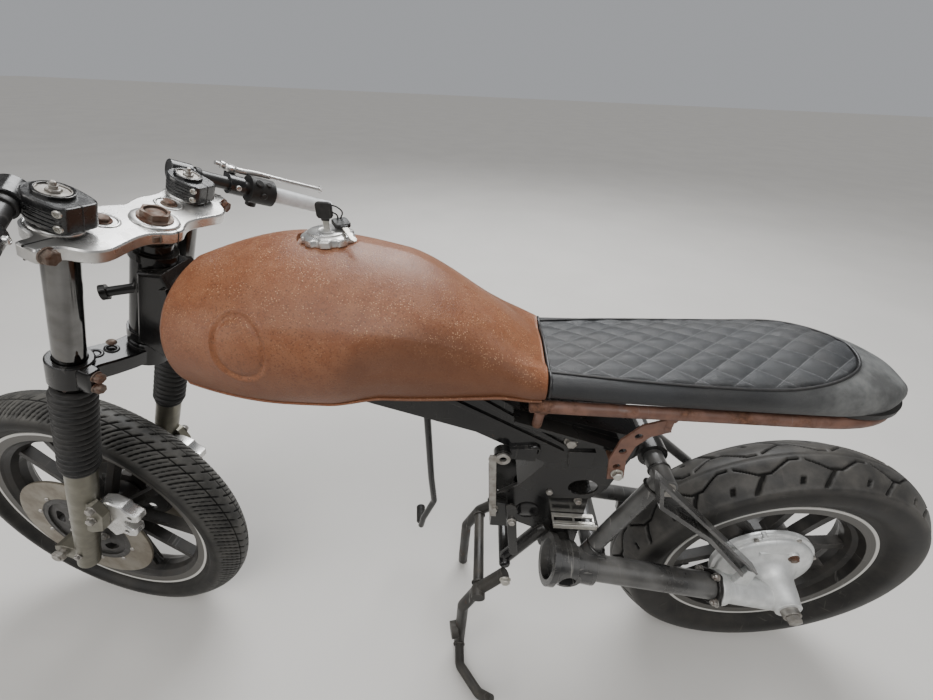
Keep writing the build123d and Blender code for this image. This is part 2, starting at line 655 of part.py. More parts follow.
# Bell casting: distance from its open end, length and radius of each step
bell_steps = [(0, 12, 50), (12, 40, 42), (52, 42, 34)]
bell_place = Plane(origin=(-250, 96, 401), z_dir=(-85, 2, -17))
shaft_rear = (-604, shaft_y, 336)
with BuildPart() as swingarm:
    rod(shaft_front, shaft_rear, shaft_r)
    # Bell-shaped casting ahead of the shaft tube, with its flange facing forwards
    for start, length, radius in bell_steps:
        with BuildSketch(bell_place.offset(start)) as bell_ring:
            Circle(radius)
        extrude(bell_ring.sketch, amount=length)
    with BuildSketch(bell_place) as bell_mouth:
        Circle(38)
    extrude(bell_mouth.sketch, amount=16, mode=Mode.SUBTRACT)
    rod((swing_pivot_x, 40, swing_pivot_z), (swing_pivot_x, 70, swing_pivot_z), 22, mode=Mode.SUBTRACT)
    rod((swing_pivot_x, 70, swing_pivot_z), (swing_pivot_x, 132, swing_pivot_z), 26)
    rod((swing_pivot_x, -110, swing_pivot_z), (swing_pivot_x, -70, swing_pivot_z), 30)
    rod((-351, -92, 392), (-351, 92, 392), 23)
    rod((-300, -shaft_y, 385), (-720, -shaft_y, 330), 19)
    side_plate([(-700, 352), (-700, 312), (-736, 301), (-764, 301), (-776, 323), (-764, 345), (-736, 345)],
               -103, -87)
    rod((apex_x, -apex_half - 18, apex_z), (apex_x, apex_half + 22, apex_z), 18)
    for side in (-1, 1):
        rod((-330, side * 80, 400), (apex_x, side * apex_half, apex_z), 16)
    # Left rear brace: a channel open to the outside
    side_plate([(-391, 670), (-413, 597), (-527, 511), (-640, 392), (-665, 388), (-665, 408)], 84, 108)
    side_plate([(-405, 648), (-417, 605), (-530, 519), (-637, 405), (-640, 380), (-680, 380), (-680, 420),
                (-660, 407)], 88, 110, mode=Mode.SUBTRACT)
    bent_tube([(apex_x, -apex_half - 10, apex_z - 3), (-460, -78, 598), (-576, -92, 500), (-655, -97, 345)], 30, 11)
    side_plate([(-455, 356), (-485, 352), (-482, 318), (-458, 318)], -95, -83.2)
    rod((swing_pivot_x, 60, swing_pivot_z), (swing_pivot_x, 140, swing_pivot_z), 10.2, mode=Mode.SUBTRACT)
    rod((swing_pivot_x, 118, swing_pivot_z), (swing_pivot_x, 140, swing_pivot_z), 18, mode=Mode.SUBTRACT)
    rod((rear_axle_x, -120, rear_axle_z), (rear_axle_x, -80, rear_axle_z), 10.2, mode=Mode.SUBTRACT)
finish(swingarm.part, "swingarm")

# Final drive: round housing about the rear axle, with a neck forward to the shaft tube
with BuildPart() as housing:
    with BuildSketch(Plane.XZ):
        Polygon((10.1, 18), (100, 18), (107, 24), (107, 32), (98, 36), (98, 42), (90, 56), (84, 58), (68, 74),
                (52, 78), (42, 86), (34, 88), (32, 92), (29, 132), (10.1, 132), align=None)
    revolve(axis=Axis.Z)
housing.part.move(rear_axle_place.location)
with BuildPart() as neck:
    rod((-737, shaft_y, 312.3), (-620, shaft_y, 333.1), 28)
    rod((-620, shaft_y, 333.1), (-606.5, shaft_y, 335.5), 34)
    # Lug for the end of the left rear brace
    side_plate([(-636, 340), (-672, 340), (-668, 407), (-648, 407)], 88.2, 102)
    rod((-700, 66, 352), (-700, 88, 352), 12)
    rod((-700, shaft_y, 308), (-700, shaft_y, 286), 9)
with BuildPart() as axle_room:
    rod((rear_axle_x, 0, rear_axle_z), (rear_axle_x, 160, rear_axle_z), 10.1)
final_drive = housing.part + neck.part - axle_room.part
finish(final_drive, "final_drive")

with BuildPart() as rear_axle:
    rod((rear_axle_x, -118, rear_axle_z), (rear_axle_x, 152, rear_axle_z), 10)
    rod((rear_axle_x, -103.2, rear_axle_z), (rear_axle_x, -113, rear_axle_z), 16)
    rod((rear_axle_x, 132.2, rear_axle_z), (rear_axle_x, 144, rear_axle_z), 17)
finish(rear_axle.part, "rear_axle")

# Drum brake panel on the right, held by a rod to the arm
rod_rear = (-694, 268)
rod_front = (-470, 326)
with BuildPart() as brake_panel:
    rod((rear_axle_x, -56, rear_axle_z), (rear_axle_x, -70, rear_axle_z), 90)
    rod((rear_axle_x, -70, rear_axle_z), (rear_axle_x, -86.8, rear_axle_z), 24)
    rod((-790, -70, 382), (-790, -82, 382), 8)
    side_plate([(-784, 390), (-797, 382), (-842, 318), (-832, 312)], -82, -76)
    rod((rod_rear[0], -70, rod_rear[1]), (rod_rear[0], -72.8, rod_rear[1]), 9)
    rod((rear_axle_x, -50, rear_axle_z), (rear_axle_x, -90, rear_axle_z), 10.1, mode=Mode.SUBTRACT)
finish(brake_panel.part, "brake_panel")

with BuildPart() as brake_torque_rod:
    rod((rod_rear[0], -78, rod_rear[1]), (rod_front[0], -78, rod_front[1]), 4)
    for eye_x, eye_z in (rod_rear, rod_front):
        rod((eye_x, -73, eye_z), (eye_x, -83, eye_z), 9)
finish(brake_torque_rod.part, "brake_torque_rod")

# Shock absorber from the swingarm's apex into the open box of the backbone
shock_top = (-256, 0, 684)
with BuildPart() as shock_absorber:
    with BuildSketch(Plane.XZ.offset(-14)):
        with Locations((apex_x, apex_z)):
            Circle(27)
    extrude(amount=28)
    rod((apex_x, 0, apex_z), (-346, 0, 652.5), 12)
    rod((-350, 0, 651.1), shock_top, 22)
    rod((shock_top[0], 0.2 - 41, shock_top[2]), (shock_top[0], 41 - 0.2, shock_top[2]), 12)
    rod((apex_x, -40, apex_z), (apex_x, 40, apex_z), 18.1, mode=Mode.SUBTRACT)
finish(shock_absorber.part, "shock_absorber")

with BuildPart() as shock_boot:
    rod((-392, 0, 636.5), (-351, 0, 650.9), 29)
    rod((-400, 0, 633.7), (-340, 0, 654.7), 12.1, mode=Mode.SUBTRACT)
finish(shock_boot.part, "shock_boot")

# Centre stand, down and resting past the vertical

with BuildPart() as centre_stand:
    for side in (-1, 1):
        bent_tube([(stand_pivot_x, side * 90, stand_pivot_z), (-119, side * 98, 263), (-88, side * 101, 189),
                   (-84, side * 106, 30), (-84, side * 108, 0)], 14, 13)
    rod((-119, -98, 263), (-119, 98, 263), 12)
    rod((-119, 94, 263), (-119, 117, 263), 15)
    # Tang for the rider's foot, and the round pad on the left leg
    bent_tube([(-84, 108, 24), (-88, 160, 20), (-134, 213, 24), (-162, 229, 42)], 20, 11)
    rod((-78, 108, 84), (-62, 112, 84), 19)
    split(bisect_by=Plane.XY, keep=Keep.TOP)
finish(centre_stand.part, "centre_stand")

# Brake pedal hanging on the right of the beam, with a rubber on its peg
peg_start = (37, -104, 172)
peg_end = (46, -164, 170)
with BuildPart() as brake_pedal:
    bent_tube([(12, -beam_half - 0.3, 742), (12, -100, 742), (13, -100, 615), (6, -102, 380), (0, -104, 285),
               (30, -104, 205), peg_start], 22, 8)
    rod(peg_start, peg_end, 6)
finish(brake_pedal.part, "brake_pedal")

with BuildPart() as pedal_rubber:
    rod((38.62, -114.8, 171.64), (45.82, -162.8, 170.04), 12)
    rod(peg_start, (47.8, -176, 169.6), 6.1, mode=Mode.SUBTRACT)
finish(pedal_rubber.part, "pedal_rubber")
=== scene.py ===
"""Looks of a cafe racer rolling chassis: rusty tank, quilted seat, clip-on bars and cast wheels.

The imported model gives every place. Lengths in the tables below are millimetres in the same frame
as the model: +X forwards, +Y to the rider's left, +Z up, floor at zero.
"""

import logging
import math
from collections.abc import Iterable, Sequence
from dataclasses import dataclass, field, replace
from enum import Enum

import bmesh
import bpy
import numpy as np
from mathutils import Matrix, Vector


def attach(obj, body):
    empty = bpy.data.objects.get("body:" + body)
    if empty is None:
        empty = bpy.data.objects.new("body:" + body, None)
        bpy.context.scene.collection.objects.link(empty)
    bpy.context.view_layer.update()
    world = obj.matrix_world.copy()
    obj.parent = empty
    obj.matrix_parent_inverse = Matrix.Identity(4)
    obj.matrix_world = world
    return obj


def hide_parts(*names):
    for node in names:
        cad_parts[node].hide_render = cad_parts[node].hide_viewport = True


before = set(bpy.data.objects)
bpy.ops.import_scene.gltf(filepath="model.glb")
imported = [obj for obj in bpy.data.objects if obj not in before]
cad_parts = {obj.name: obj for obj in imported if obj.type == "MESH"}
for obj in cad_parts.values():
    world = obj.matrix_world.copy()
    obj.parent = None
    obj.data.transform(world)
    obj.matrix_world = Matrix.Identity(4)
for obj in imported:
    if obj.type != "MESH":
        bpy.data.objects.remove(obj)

log = logging.getLogger("cafe_racer")
Colour = tuple[float, float, float]
Point = tuple[float, float, float]
Socket = bpy.types.NodeSocket
Sockets = dict[str, bpy.types.NodeSocket]
MM = 0.001
TAU = 2 * math.pi
SIDES = ((1, "left"), (-1, "right"))


class Body(Enum):
    """The moving bodies that a piece can ride on."""

    CHASSIS = "chassis"
    STEERING = "steering"
    FRONT_WHEEL = "front_wheel"
    REAR_WHEEL = "rear_wheel"
    STAND = "centre_stand"


# Places: each maps millimetres about its own axes to metres in the machine's frame


def place(origin: Sequence[float], x_axis: Sequence[float], z_axis: Sequence[float]) -> Matrix:
    """Build a place from its origin and two of its axes.

    Args:
        origin: Origin in millimetres.
        x_axis: Direction of the local X axis.
        z_axis: Direction of the local Z axis.

    Returns:
        Matrix from local millimetres to metres in the machine's frame.
    """
    z = Vector(z_axis).normalized()
    x = Vector(x_axis)
    x = (x - z * x.dot(z)).normalized()
    y = z.cross(x)
    turn = Matrix((x, y, z)).transposed() * MM
    return Matrix.Translation(Vector(origin) * MM) @ turn.to_4x4()


# steering: rake of its axis, and how far it is turned at rest
RAKE, TURN = math.radians(24.0), math.radians(-7.7)
FORK_OFFSET = 70.0
UP = Vector((-math.sin(RAKE), 0.0, math.cos(RAKE)))
AHEAD = Vector((math.cos(TURN) * math.cos(RAKE), math.sin(TURN), math.cos(TURN) * math.sin(RAKE)))
LEFT = UP.cross(AHEAD)
WORLD = Matrix.Scale(MM, 4)
STEERING = place((687.2, 0, 299.3), AHEAD, UP)
FRONT_AXLE = place(STEERING @ Vector((FORK_OFFSET, 0, 0)) / MM, AHEAD, LEFT)
REAR_AXLE = place((-750, 0, 323), (1, 0, 0), (0, 1, 0))
# Z axis to the right, so that outlines are drawn as (x, z) and seen from the left
SIDE_ON = place((0, 0, 0), (1, 0, 0), (0, -1, 0))


def shifted(at: Matrix, x: float, y: float = 0.0, z: float = 0.0) -> Matrix:
    """Place moved along its own axes, in its own millimetres."""
    return at @ Matrix.Translation((x, y, z))


def spun(at: Matrix, angle: float, axis: str = "Z") -> Matrix:
    """Place turned about one of its own axes, in radians."""
    return at @ Matrix.Rotation(angle, 4, axis)


def mirror(at: Matrix, side: int) -> Matrix:
    """Place with its Y axis turned over for the right side."""
    return at @ Matrix.Scale(side, 4, (0, 1, 0))


def circle(count: int, radius: float = 1.0) -> list[tuple[float, float]]:
    """Points evenly round a circle, as (x, y)."""
    return [(radius * math.cos(t), radius * math.sin(t)) for t in np.linspace(0, TAU, count, endpoint=False)]


def mirrored(half: Sequence[tuple[float, float]]) -> list[tuple[float, float]]:
    """Close a half outline given from the middle of its front to the middle of its back."""
    return list(half) + [(x, -y) for x, y in reversed(half) if abs(y) > 0.01]


def facing(at: Sequence[float], towards: Sequence[float], frame_of: Matrix = WORLD) -> Matrix:
    """Place on a surface whose Z axis points out of it.

    Args:
        at: Point on the surface, in the millimetres of frame_of.
        towards: Direction out of the surface, in the axes of frame_of.
        frame_of: Place that the point and direction are given in.

    Returns:
        Place at that point.
    """
    turn = frame_of.to_3x3() * (1 / MM)
    out = turn @ Vector(towards)
    side = Vector((1, 0, 0)) if abs(out.normalized().x) < 0.8 else Vector((0, 0, 1))
    return place(frame_of @ Vector(at) / MM, side, out)


def in_scene(name: str, data: bpy.types.ID) -> bpy.types.Object:
    """Put a new object into the scene.

    Args:
        name: Its name.
        data: Its mesh, light or camera.

    Returns:
        The object.
    """
    made = bpy.data.objects.new(name, data)
    bpy.context.scene.collection.objects.link(made)
    return made


# Meshes


@dataclass
class Shape:
    """Faces of one piece while it is being built, in metres in the machine's frame."""

    points: list[np.ndarray] = field(default_factory=list)
    faces: list[tuple[int, ...]] = field(default_factory=list)
    count: int = 0

    def add(self, points: np.ndarray, faces: Iterable[Sequence[int]]) -> "Shape":
        """Add points and the faces between them.

        Args:
            points: Points in metres.
            faces: Numbers of each face's points, counted from the first of these points.

        Returns:
            This shape.
        """
        self.points.append(np.asarray(points, float).reshape(-1, 3))
        self.faces.extend(tuple(int(i) + self.count for i in f) for f in faces)
        self.count += len(self.points[-1])
        return self

    def grid(self, grid: np.ndarray, wrap_rows: bool = False, wrap_columns: bool = False) -> "Shape":
        """Add a sheet of quads.

        Args:
            grid: Rows by columns by three coordinates in metres.
            wrap_rows: Join the last row to the first.
            wrap_columns: Join the last column to the first.

        Returns:
            This shape.
        """
        rows, columns = grid.shape[:2]
        i = np.arange(rows if wrap_rows else rows - 1)[:, None]
        j = np.arange(columns if wrap_columns else columns - 1)[None, :]
        a = i * columns + j
        b = i * columns + (j + 1) % columns
        c = ((i + 1) % rows) * columns + (j + 1) % columns
        d = ((i + 1) % rows) * columns + j
        return self.add(grid.reshape(-1, 3), np.stack([a, b, c, d], -1).reshape(-1, 4))

    def stack(self, rings: np.ndarray, over: bool = False) -> "Shape":
        """Join a stack of rings and close both of its ends.

        Args:
            rings: Rings by points by three coordinates in metres.
            over: Turn the end faces over.

        Returns:
            This shape.
        """
        first, sides = self.count, len(rings[0])
        self.grid(rings, wrap_columns=True)
        ends = (range(first, first + sides), range(self.count - sides, self.count))
        self.faces.extend(tuple(end[::-1] if flip != over else end) for end, flip in zip(ends, (True, False)))
        return self

    def lathe(self, profile: Sequence[tuple[float, float]], at: Matrix, sides: int = 32,
              closed: bool = False) -> "Shape":
        """Turn a profile about the Z axis of a place.

        Args:
            profile: Points as (radius, height) in millimetres.
            at: Place whose Z axis is the axis of the turning.
            sides: Number of faces round the axis.
            closed: Join the last profile point to the first.

        Returns:
            This shape.
        """
        rings = np.array([[(r * x, r * y, h) for x, y in circle(sides)] for r, h in profile])
        return self.grid(moved(rings, at), wrap_rows=closed, wrap_columns=True)

    def tube(self, route: Sequence[Sequence[float]], radius: float | Sequence[float], at: Matrix = WORLD,
             sides: int = 16, loop: bool = False) -> "Shape":
        """Sweep a round section along a route, with rounded ends.

        Args:
            route: Points in millimetres.
            radius: One radius, or one for each point.
            at: Place that the route is given in.
            sides: Number of faces round the tube.
            loop: Join the route's end to its start.

        Returns:
            This shape.
        """
        line = np.asarray(route, float)
        radii = np.full(len(line), radius, float) if np.isscalar(radius) else np.asarray(radius, float)
        if loop:
            ahead = np.roll(line, -1, 0) - np.roll(line, 1, 0)
        else:
            ahead = np.gradient(line, axis=0)
            reach = ahead / np.linalg.norm(ahead, axis=1)[:, None] * radii[:, None] * 0.25
            line = np.vstack([line[0] - reach[0], line, line[-1] + reach[-1]])
            ahead = np.vstack([ahead[0], ahead, ahead[-1]])
            radii = np.concatenate([[radii[0] * 0.8], radii, [radii[-1] * 0.8]])
        ahead = ahead / np.linalg.norm(ahead, axis=1)[:, None]
        side = np.cross(ahead[0], (0.31, 0.22, 0.93))
        round_by = np.array(circle(sides))
        rings = []
        for centre, run, r in zip(line, ahead, radii):
            side = side - run * side.dot(run)
            side /= np.linalg.norm(side)
            rings.append(centre + r * (round_by @ np.array((side, np.cross(run, side)))))
        rings = moved(np.array(rings), at)
        return self.grid(rings, wrap_rows=True, wrap_columns=True) if loop else self.stack(rings)

    def hex_head(self, at: Matrix, across: float, height: float, washer: float = 0.0) -> "Shape":
        """Add a chamfered hexagon head or nut.

        Args:
            at: Place on the surface, with Z out of it.
            across: Width across its flats.
            height: Height above its washer.
            washer: Radius of the washer under it, or none.

        Returns:
            This shape.
        """
        base = 0.0
        if washer:
            self.lathe([(0.0, 0.0), (washer, 0.0), (washer, 1.3), (washer - 0.5, 1.7), (0.0, 1.7)], at, 28)
            base = 1.6
        r = across / math.sqrt(3)
        return self.lathe([(r * 0.94, base), (r, base + 0.6), (r, base + height - 1.2),
                           (r * 0.87, base + height), (0.0, base + height)], at, 6)

    def socket_head(self, at: Matrix, radius: float, height: float) -> "Shape":
        """Add a round bolt head with a hexagon recess.

        Args:
            at: Place on the surface, with Z out of it.
            radius: Radius of the head.
            height: Its height.

        Returns:
            This shape.
        """
        self.lathe([(radius, 0.0), (radius, height - 0.9), (radius - 0.9, height), (radius * 0.56, height)], at, 24)
        return self.lathe([(radius * 0.56, height), (radius * 0.5, height - 0.4),
                           (radius * 0.5, height * 0.35), (0.0, height * 0.3)], at, 6)

    def slab(self, outline: Sequence[tuple[float, float]], low: float, high: float, at: Matrix,
             round_by: float = 0.8) -> "Shape":
        """Add a flat plate with softened edges.

        Args:
            outline: Corners as (x, y) of the place, in millimetres.
            low: Height of its underside.
            high: Height of its upper side.
            at: Place whose Z axis crosses the plate.
            round_by: How far the edges are rounded.

        Returns:
            This shape.
        """
        flat = np.array(outline, float)
        edge = np.roll(flat, -1, 0) - flat
        out = np.stack([edge[:, 1], -edge[:, 0]], -1) / np.linalg.norm(edge, axis=1)[:, None]
        if np.sum(flat[:, 0] * np.roll(flat[:, 1], -1) - np.roll(flat[:, 0], -1) * flat[:, 1]) < 0:
            out = -out
        corner = out + np.roll(out, 1, 0)
        corner /= np.maximum(np.linalg.norm(corner, axis=1), 0.3)[:, None]
        inner = flat - corner * round_by
        levels = [(inner, low), (flat, low + round_by), (flat, high - round_by), (inner, high)]
        rings = np.array([np.column_stack([ring, np.full(len(ring), z)]) for ring, z in levels])
        return self.stack(moved(rings, at))

    def make(self, name: str, body: Body, finish: "Finish", crease: float = 38.0, replaces: str = "",
             attributes: dict[str, np.ndarray] | None = None) -> bpy.types.Object:
        """Turn the shape into a piece of the machine, and report it.

        Args:
            name: Name of the piece.
            body: Body that it rides on.
            finish: Its finish.
            crease: Edges sharper than this many degrees stay sharp.
            replaces: Node of the model whose place it takes.
            attributes: Numbers kept for each point, for the material.

        Returns:
            The new object.
        """
        mesh = bpy.data.meshes.new(name)
        mesh.from_pydata(np.vstack(self.points).tolist(), [], self.faces)
        mesh.validate()
        mesh.polygons.foreach_set("use_smooth", [True] * len(mesh.polygons))
        mesh.set_sharp_from_angle(angle=math.radians(crease))
        for key, values in (attributes or {}).items():
            kept = mesh.attributes.new(key, "FLOAT", "POINT")
            kept.data.foreach_set("value", np.asarray(values, np.float32).ravel())
        mesh.materials.append(finish.material())
        piece = in_scene(name, mesh)
        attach(piece, body.value)
        if replaces:
            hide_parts(replaces)
        mesh.update()
        log.info("%s: %d faces on %s", name, len(mesh.polygons), body.value)
        return piece


def moved(points: np.ndarray, at: Matrix) -> np.ndarray:
    """Carry local millimetres to metres in the machine's frame."""
    m = np.array(at)
    return np.asarray(points, float) @ m[:3, :3].T + m[:3, 3]


def spline(points: Sequence[Sequence[float]], steps: int, loop: bool = False) -> np.ndarray:
    """Smooth line through given points.

    Args:
        points: Points that the line passes through.
        steps: Number of steps between two points.
        loop: Whether the line closes on itself.

    Returns:
        Points along the line.
    """
    p = np.asarray(points, float)
    n = len(p)
    out = []
    for i in range(n if loop else n - 1):
        quad = [p[(i + k) % n] if loop else p[min(max(i + k, 0), n - 1)] for k in (-1, 0, 1, 2)]
        for t in np.arange(steps) / steps:
            out.append(0.5 * (2 * quad[1] + (quad[2] - quad[0]) * t
                              + (2 * quad[0] - 5 * quad[1] + 4 * quad[2] - quad[3]) * t * t
                              + (3 * quad[1] - quad[0] - 3 * quad[2] + quad[3]) * t ** 3))
    if not loop:
        out.append(p[-1])
    return np.array(out)


def smooth_step(low: float, high: float, x: np.ndarray) -> np.ndarray:
    """Rise smoothly from zero at low to one at high."""
    t = np.clip((np.asarray(x, float) - low) / (high - low), 0, 1)
    return t * t * (3 - 2 * t)


def row_between(table: np.ndarray, x: float) -> np.ndarray:
    """Row of a table at x, by a smooth monotone curve through each column.

    Args:
        table: Rows with x in the first column, rising.
        x: Where to read the table.

    Returns:
        The row's values, x included.
    """
    xs = table[:, 0]
    i = int(np.clip(np.searchsorted(xs, x) - 1, 0, len(xs) - 2))
    h = xs[i + 1] - xs[i]
    slopes = np.diff(table, axis=0) / np.diff(xs)[:, None]

    def slope(k: int) -> np.ndarray:
        """Slope at a row of the table, zero where the column turns back.

        Args:
            k: Number of the row.

        Returns:
            One slope per column.
        """
        if k in (0, len(xs) - 1):
            return slopes[0 if k == 0 else -1]
        a, b = slopes[k - 1], slopes[k]
        return np.where(a * b > 0, 2 * a * b / np.where(a + b == 0, 1, a + b), 0)

    t = (x - xs[i]) / h
    h00, h10, h01, h11 = 2 * t**3 - 3 * t**2 + 1, t**3 - 2 * t**2 + t, 3 * t**2 - 2 * t**3, t**3 - t**2
    row = h00 * table[i] + h10 * h * slope(i) + h01 * table[i + 1] + h11 * h * slope(i + 1)
    row[0] = x
    return row


# Shader building


class Graph:
    """A node tree with short ways to add and join nodes."""

    def __init__(self, tree: bpy.types.NodeTree) -> None:
        """Keep the tree that nodes are added to."""
        self.tree = tree

    def node(self, kind: str, inputs: dict | None = None, **settings: object) -> bpy.types.Node:
        """Add a node.

        Args:
            kind: Its type.
            inputs: Values or sockets for its inputs, by name or number.
            settings: Its other settings.

        Returns:
            The node.
        """
        made = self.tree.nodes.new(kind)
        for key, value in settings.items():
            setattr(made, key, value)
        for key, value in (inputs or {}).items():
            self.give(made.inputs[key], value)
        return made

    def give(self, socket: Socket, value: object) -> None:
        """Link another socket to a socket, or set its value.

        Args:
            socket: Socket that is given something.
            value: Socket or value that it is given.
        """
        if isinstance(value, Socket):
            self.tree.links.new(value, socket)
        else:
            socket.default_value = value

    def math(self, operation: str, a: object, b: object = 0.0, clamp: bool = False) -> Socket:
        """Join two numbers by an operation."""
        return self.node("ShaderNodeMath", {0: a, 1: b}, operation=operation, use_clamp=clamp).outputs[0]

    def times(self, first: object, *others: object, clamp: bool = False) -> Socket:
        """Multiply numbers.

        Args:
            first: First number.
            others: The numbers that it is multiplied by, in turn.
            clamp: Keep the result between zero and one.

        Returns:
            The product.
        """
        for left, other in zip(range(len(others) - 1, -1, -1), others):
            first = self.math("MULTIPLY", first, other, clamp and not left)
        return first

    def here(self) -> Socket:
        """Point of the surface, in the machine's metres."""
        return self.node("ShaderNodeTexCoord").outputs["Object"]

    def normal(self) -> Socket:
        """Direction out of the surface."""
        return self.node("ShaderNodeNewGeometry").outputs["Normal"]

    def axes(self, vector: Socket) -> bpy.types.NodeOutputs:
        """Split a vector into X, Y and Z."""
        return self.node("ShaderNodeSeparateXYZ", {0: vector}).outputs

    def kept(self, name: str) -> Socket:
        """Number that the mesh keeps for each of its points."""
        return self.node("ShaderNodeAttribute", attribute_name=name).outputs["Fac"]

    def turning(self, radius: Socket, scale: float, detail: float, rough: float) -> Socket:
        """Add the fine rings that a lathe leaves."""
        along = self.node("ShaderNodeCombineXYZ", {0: self.times(radius, scale)}).outputs[0]
        return self.noise(1.0, detail, rough, along)

    def vector(self, operation: str, a: object, b: object = (0, 0, 0)) -> Socket:
        """Join two vectors by an operation."""
        made = self.node("ShaderNodeVectorMath", {0: a, 1: b}, operation=operation)
        return made.outputs["Value" if operation in ("DOT_PRODUCT", "LENGTH") else "Vector"]

    def fit(self, value: object, low: float, high: float, new_low: float = 0.0, new_high: float = 1.0) -> Socket:
        """Map a number from one range to another, smoothly and without passing its ends."""
        return self.node("ShaderNodeMapRange", {0: value, 1: low, 2: high, 3: new_low, 4: new_high},
                         interpolation_type="SMOOTHSTEP").outputs[0]

    def mix(self, share: object, a: object, b: object) -> Socket:
        """Blend two colours."""
        a, b = (v if isinstance(v, Socket) else (*v, 1.0) for v in (a, b))
        return self.node("ShaderNodeMix", {0: share, 6: a, 7: b}, data_type="RGBA").outputs[2]

    def blend(self, share: object, a: object, b: object) -> Socket:
        """Blend two numbers."""
        return self.node("ShaderNodeMix", {0: share, 2: a, 3: b}, data_type="FLOAT").outputs[0]

    def noise(self, scale: object, detail: float, rough: float, vector: Socket | None = None,
              warp: float = 0.0) -> Socket:
        """Add noise over the surface."""
        made = self.node("ShaderNodeTexNoise", {"Vector": self.here() if vector is None else vector, "Scale": scale,
                                                "Detail": detail, "Roughness": rough, "Distortion": warp})
        return made.outputs["Fac"]

    def cells(self, scale: float, feature: str = "F1") -> Socket:
        """Add the distance to scattered points or to the cell walls between them."""
        return self.node("ShaderNodeTexVoronoi", {"Vector": self.here(), "Scale": scale},
                         feature=feature).outputs["Distance"]

    def effect(self, which: "Effect", **inputs: object) -> bpy.types.NodeOutputs:
        """Place one of the shared effects.

        Args:
            which: The effect.
            inputs: This surface's values for it, by the names of its inputs in small letters.

        Returns:
            What it puts out.
        """
        return self.node("ShaderNodeGroup", {key.capitalize(): value for key, value in inputs.items()},
                         node_tree=which.tree()).outputs


class Effect(Enum):
    """Surface effects that several materials share, each built once as a node group."""

    EDGES = "Softened and worn edges"
    RUST = "Rust bloom"
    DUST = "Settled dust"
    GRAIN = "Cast or moulded grain"
    SCUFFS = "Scuffs and scratches"
    AXLE = "Distance from an axle"

    def tree(self) -> bpy.types.NodeTree:
        """Find the effect's node group, building it the first time.

        Returns:
            The node group.
        """
        if self.value in bpy.data.node_groups:
            return bpy.data.node_groups[self.value]
        tree = bpy.data.node_groups.new(self.value, "ShaderNodeTree")
        inputs, outputs, fill = EFFECTS[self]
        for name, value in inputs.items():
            kind = "NodeSocketVector" if isinstance(value, tuple) else "NodeSocketFloat"
            tree.interface.new_socket(name=name, in_out="INPUT", socket_type=kind).default_value = value
        for name, kind in outputs.items():
            tree.interface.new_socket(name=name, in_out="OUTPUT", socket_type=f"NodeSocket{kind}")
        g = Graph(tree)
        source, sink = g.node("NodeGroupInput"), g.node("NodeGroupOutput")
        for name, socket in fill(g, source.outputs).items():
            tree.links.new(socket, sink.inputs[name])
        return tree


def edges_effect(g: Graph, given: bpy.types.NodeOutputs) -> Sockets:
    """Round the edges to the eye and mark where they are rubbed.

    Args:
        g: The group's graph.
        given: Radius of the rounding, scale of the wear's patches and its amount.

    Returns:
        Mask of the wear, and the soft normal.
    """
    soft = g.node("ShaderNodeBevel", {"Radius": given["Radius"]}, samples=6).outputs["Normal"]
    turn = g.math("SUBTRACT", 1.0, g.vector("DOT_PRODUCT", soft, g.normal()))
    patchy = g.fit(g.noise(given["Scale"], 5, 0.6), 0.38, 0.66)
    return {"Mask": g.times(g.fit(turn, 0.01, 0.12), patchy, given["Amount"], clamp=True), "Normal": soft}


def rust_effect(g: Graph, given: bpy.types.NodeOutputs) -> Sockets:
    """Spread rust of three browns, with its crust.

    Args:
        g: The group's graph.
        given: Scale of the patches, and how much they cover.

    Returns:
        Mask, colour and height of the crust.
    """
    patches = g.noise(given["Scale"], 9, 0.68)
    low = g.math("SUBTRACT", 1.0, given["Cover"])
    mask = g.times(g.math("SUBTRACT", patches, g.times(low, 0.72)), 9.0, clamp=True)
    fine = g.noise(g.times(given["Scale"], 9.0), 6, 0.7)
    ramp = g.node("ShaderNodeValToRGB", {"Fac": fine})
    stops = ramp.color_ramp.elements
    stops[0].position, stops[0].color = 0.3, (0.040, 0.016, 0.010, 1)
    stops[1].position, stops[1].color = 0.72, (0.22, 0.105, 0.060, 1)
    middle = stops.new(0.5)
    middle.color = (0.105, 0.045, 0.024, 1)
    return {"Mask": mask, "Color": ramp.outputs["Color"], "Height": fine}


def dust_effect(g: Graph, given: bpy.types.NodeOutputs) -> Sockets:
    """Lay dust on what faces up, with a thin film elsewhere.

    Args:
        g: The group's graph.
        given: Scale and amount of the dust.

    Returns:
        Mask of the dust.
    """
    facing_up = g.axes(g.normal())["Z"]
    cloud = g.fit(g.noise(given["Scale"], 6, 0.62), 0.32, 0.72)
    up = g.fit(facing_up, -0.1, 1.0, 0.22, 1.0)
    speck = g.fit(g.noise(g.times(given["Scale"], 22.0), 2, 0.5), 0.52, 0.7, 0.55, 1.0)
    return {"Mask": g.times(cloud, up, speck, given["Amount"], clamp=True)}


def grain_effect(g: Graph, given: bpy.types.NodeOutputs) -> Sockets:
    """Give the fine height of a casting or moulding, and slow mottling.

    Args:
        g: The group's graph.
        given: Scale of the grain.

    Returns:
        Height of the grain, and the mottling.
    """
    fine = g.noise(given["Scale"], 3, 0.6)
    coarse = g.noise(g.times(given["Scale"], 0.13), 4, 0.5)
    height = g.math("ADD", g.times(fine, 0.7), g.times(coarse, 0.5))
    return {"Height": height, "Mottle": g.fit(coarse, 0.3, 0.7)}


